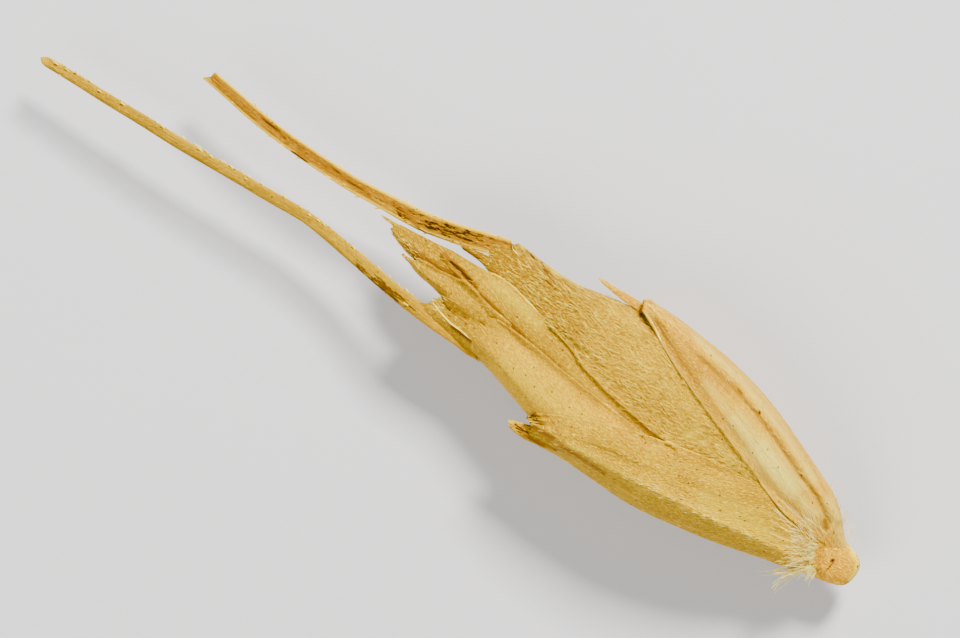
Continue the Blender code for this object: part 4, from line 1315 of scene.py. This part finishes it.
def beaks(look):
    """The glumes' beaks and the right lobe's point."""
    notch = (
        (-1.0, -0.22), (-0.75, -0.08), (-0.5, -0.12), (-0.15, -0.32), (0.15, -0.02), (0.5, 0.06),
        (0.8, -0.02), (1.0, -0.12),
    )
    streaks = (
        (((-4.68, 16.47), (-4.67, 15.95)), 0.032, 1.4),
        (((-4.79, 16.28), (-4.64, 15.72)), 0.034, 1.5),
        (((-4.87, 16.14), (-4.86, 15.95)), 0.03, 1.1),
        (((-4.84, 15.8), (-4.77, 15.3), (-4.66, 14.7)), 0.1, 0.5),
    )
    for name, stations, lift, finish, slot, node, dash, tip in (
        ("lower_beak", LOWER_BEAK, 1.25, look.glume, "glume", "lower_glume", 1.0, notch),
        ("upper_beak", UPPER_BEAK, 0.75, look.upper, "glume", "upper_glume", 0.4, None),
        ("right_lobe_tip", FOURTH_TIP, 0.30, look.lobe, "lemma", "fourth_lemma", 0.3, None),
    ):
        rod = Rod(stations, lambda y: lift, 80, sides=36, depth=0.6, groove=0.1, tip=tip, seed=8)
        rod.stain_and_shadow = 0.22 * dash * np.clip(0.8 - rod.side, 0, 1)
        for line, width, strength in streaks if tip else ():
            drawn = strength * near(rod.x, rod.y, line, width) * (rod.over > -0.2)
            rod.stain_and_shadow = np.maximum(rod.stain_and_shadow, drawn)
        rod.pale_and_highlight = 0.8 * between_heights(rod.height, stations[-1][0] - 0.3, stations[-1][0])
        rod.dash = dash * np.ones_like(rod.x)
        placed(name, closed(rod.mesh(name, round_tip=0.0 if tip else 0.03)), finish, node)


def all_hairs(first, second, third, fourth, lower, top, awn_beds, look):
    """The down, the fringes, the awns' barbs and the tufts at the foot."""
    tree = hair_tree()
    keel = near(lower.x, lower.y, LOWER_KEEL, 0.16) * lower.front * (1 - between_heights(lower.y, 9.0, 12.0))
    upper_keel = near(top.x, top.y, UPPER_KEEL, 0.2) * top.front
    last_rows = np.arange(len(third.y))[:, None] > len(third.y) - 8
    beds = {
        "second": [sheet_mesh("second_bed", second, second.hairy)],
        "lobes": [
            sheet_mesh("third_bed", third, third.hairy),
            sheet_mesh("fourth_bed", fourth, fourth.hairy),
        ],
        "fringe": [
            sheet_mesh("third_top_bed", third, third.front * last_rows),
            sheet_mesh("fourth_top_bed", fourth, fourth.front * (fourth.y > 25.2) * (fourth.x < -0.75)),
            sheet_mesh("first_top_bed", first, first.front * (first.y > 22.6) * (first.x > -2.7)),
        ],
        "glumes": [
            sheet_mesh("lower_bed", lower, 0.3 * lower.front * (lower.x < -1.0) + keel),
            sheet_mesh("top_bed", top, 0.10 * top.front),
        ],
        "keels": [
            sheet_mesh("lower_keel_bed", lower, keel),
            sheet_mesh("upper_keel_bed", top, 0.3 * upper_keel),
        ],
        "awns": awn_beds,
    }
    for name, width, rows in TUFT_BEDS:
        beds[name] = [strip_bed(name, rows, width)]
    # density is in hairs to a square millimetre, and slimness in radii to a length
    for name, bed, finish, density, length, slimness, lift, unruly, bend, seed, slot in (
        ("second_lemma_down", "second", look.down_hair, 54, 0.46, 0.020, 0.07, 0.15, 0.25, 1, "lemma"),
        ("lobe_down", "lobes", look.down_hair, 24, 0.26, 0.035, 0.10, 0.2, 0.1, 5, "lemma"),
        ("lobe_fringe", "fringe", look.thin_edge, 60, 0.20, 0.045, 0.1, 0.25, 0.10, 41, "lemma"),
        ("glume_down", "glumes", look.thin_edge, 26, 0.22, 0.045, 0.10, 0.22, 0.1, 9, "glume"),
        ("keel_down", "keels", look.thin_edge, 40, 0.34, 0.035, 0.22, 0.25, 0.1, 15, "glume"),
        ("awn_barbs", "awns", look.barb_hair, 13, 0.24, 0.16, 0.5, 0.1, 0.0, 12, "lemma"),
        ("long_tuft", "long_bed", look.tuft_hair, 230, 2.3, 0.0045, 0.0, 0.17, 0.12, 19, "stalk"),
        ("front_tuft", "front_bed", look.tuft_hair, 300, 1.30, 0.0070, 0.0, 0.26, 0.22, 21, "stalk"),
        ("curly_tuft", "curly_bed", look.tuft_hair, 340, 0.60, 0.014, 0.0, 0.45, 0.45, 23, "stalk"),
        ("side_tufts", "left_bed", look.tuft_hair, 300, 1.55, 0.0085, 0.0, 0.2, 0.3, 25, "stalk"),
        ("edge_fringe", "right_bed", look.tuft_hair, 100, 0.55, 0.026, 0.0, 0.3, 0.25, 29, "stalk"),
    ):
        hairs(name, beds[bed], tree, finish, density, length, slimness, lift, unruly, bend, seed)


def inner_parts():
    """What lies inside the florets keeps its solid and gets its finish."""
    chaff_inside = inner_finish("inner_chaff", (170, 120, 34), (216, 168, 66), 0.55)
    grain_skin = inner_finish("grain_skin", (104, 54, 14), (160, 96, 34), 0.45)
    for node, finish in (
        ("first_palea", chaff_inside), ("second_palea", chaff_inside),
        ("first_grain", grain_skin), ("second_grain", grain_skin),
    ):
        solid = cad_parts[node]
        solid.data.materials.clear()
        solid.data.materials.append(finish)


def floor_and_light():
    """A pale floor, soft light and a camera that looks straight down."""
    corners = [(FLOOR_REACH * x, FLOOR_REACH * y, 0) for x, y in ((-1, -1), (1, -1), (1, 1), (-1, 1))]
    mesh = bpy.data.meshes.new("floor")
    mesh.from_pydata(corners, [], [(0, 1, 2, 3)])
    floor = in_scene("floor", mesh)
    plain, tree, shader = new_finish("floor_paint")
    place = add(tree, "ShaderNodeTexCoord").outputs["Object"]
    soft = cloud(tree, place, (40.0, 40.0, 40.0))
    colour = blend_colours(tree, soft, *(tone(*each) for each in FLOOR_TONES))
    tree.links.new(colour, shader.inputs["Base Color"])
    shader.inputs["Roughness"].default_value = 0.9
    mesh.materials.append(plain)

    world = bpy.data.worlds.new("studio")
    bpy.context.scene.world = world
    world.use_nodes = True
    backdrop = world.node_tree.nodes["Background"]
    backdrop.inputs["Color"].default_value = WORLD_TINT
    backdrop.inputs["Strength"].default_value = WORLD_STRENGTH

    for name, up, right, height, size, power in LAMPS:
        spot = PICTURE_UP * up + PICTURE_RIGHT * right + Vector((0, 0, height))
        lamp = bpy.data.lights.new(name, "AREA")
        lamp.size = size
        lamp.energy = power
        lamp.color = LAMP_TINT
        holder = in_scene(name, lamp)
        holder.location = spot
        holder.rotation_euler = (-spot).to_track_quat("-Z", "Y").to_euler()

    camera = bpy.data.cameras.new("camera")
    camera.lens = LENS
    camera.sensor_width = SENSOR
    camera.clip_start = 0.01
    camera.clip_end = 10.0
    holder = in_scene("camera", camera)
    pose = Matrix((PICTURE_RIGHT, PICTURE_UP, Vector((0, 0, 1)))).transposed().to_4x4()
    pose.translation = (PICTURE_MIDDLE + Vector(FOOT)) * MM + Vector((0.0, 0.0, CAMERA_HEIGHT))
    holder.matrix_world = pose
    bpy.context.scene.camera = holder


def main():
    look = all_looks()
    third, fourth = two_lobes()
    first, second = awned_lemmas(third, fourth)
    lower, top = two_glumes(first, second, fourth)
    for name, sheet, finish, node, slot in (
        ("lower_glume_blade", lower, look.glume, "lower_glume", "glume"),
        ("upper_glume_blade", top, look.upper, "upper_glume", "glume"),
        ("first_lemma_blade", first, look.smooth, "first_lemma", "lemma"),
        ("second_lemma_blade", second, look.downy, "second_lemma", "lemma"),
        ("left_lobe", third, look.lobe, "third_lemma", "lemma"),
        ("right_lobe", fourth, look.lobe, "fourth_lemma", "lemma"),
    ):
        bract(name, sheet, finish, node)
    thin_edges(first, second, fourth, lower, top, look)
    awn_beds = two_awns(look)
    beaks(look)
    placed("stalk_stub", stalk_mesh("stalk_stub"), look.stalk, "rachis")
    all_hairs(first, second, third, fourth, lower, top, awn_beds, look)
    inner_parts()
    floor_and_light()


main()
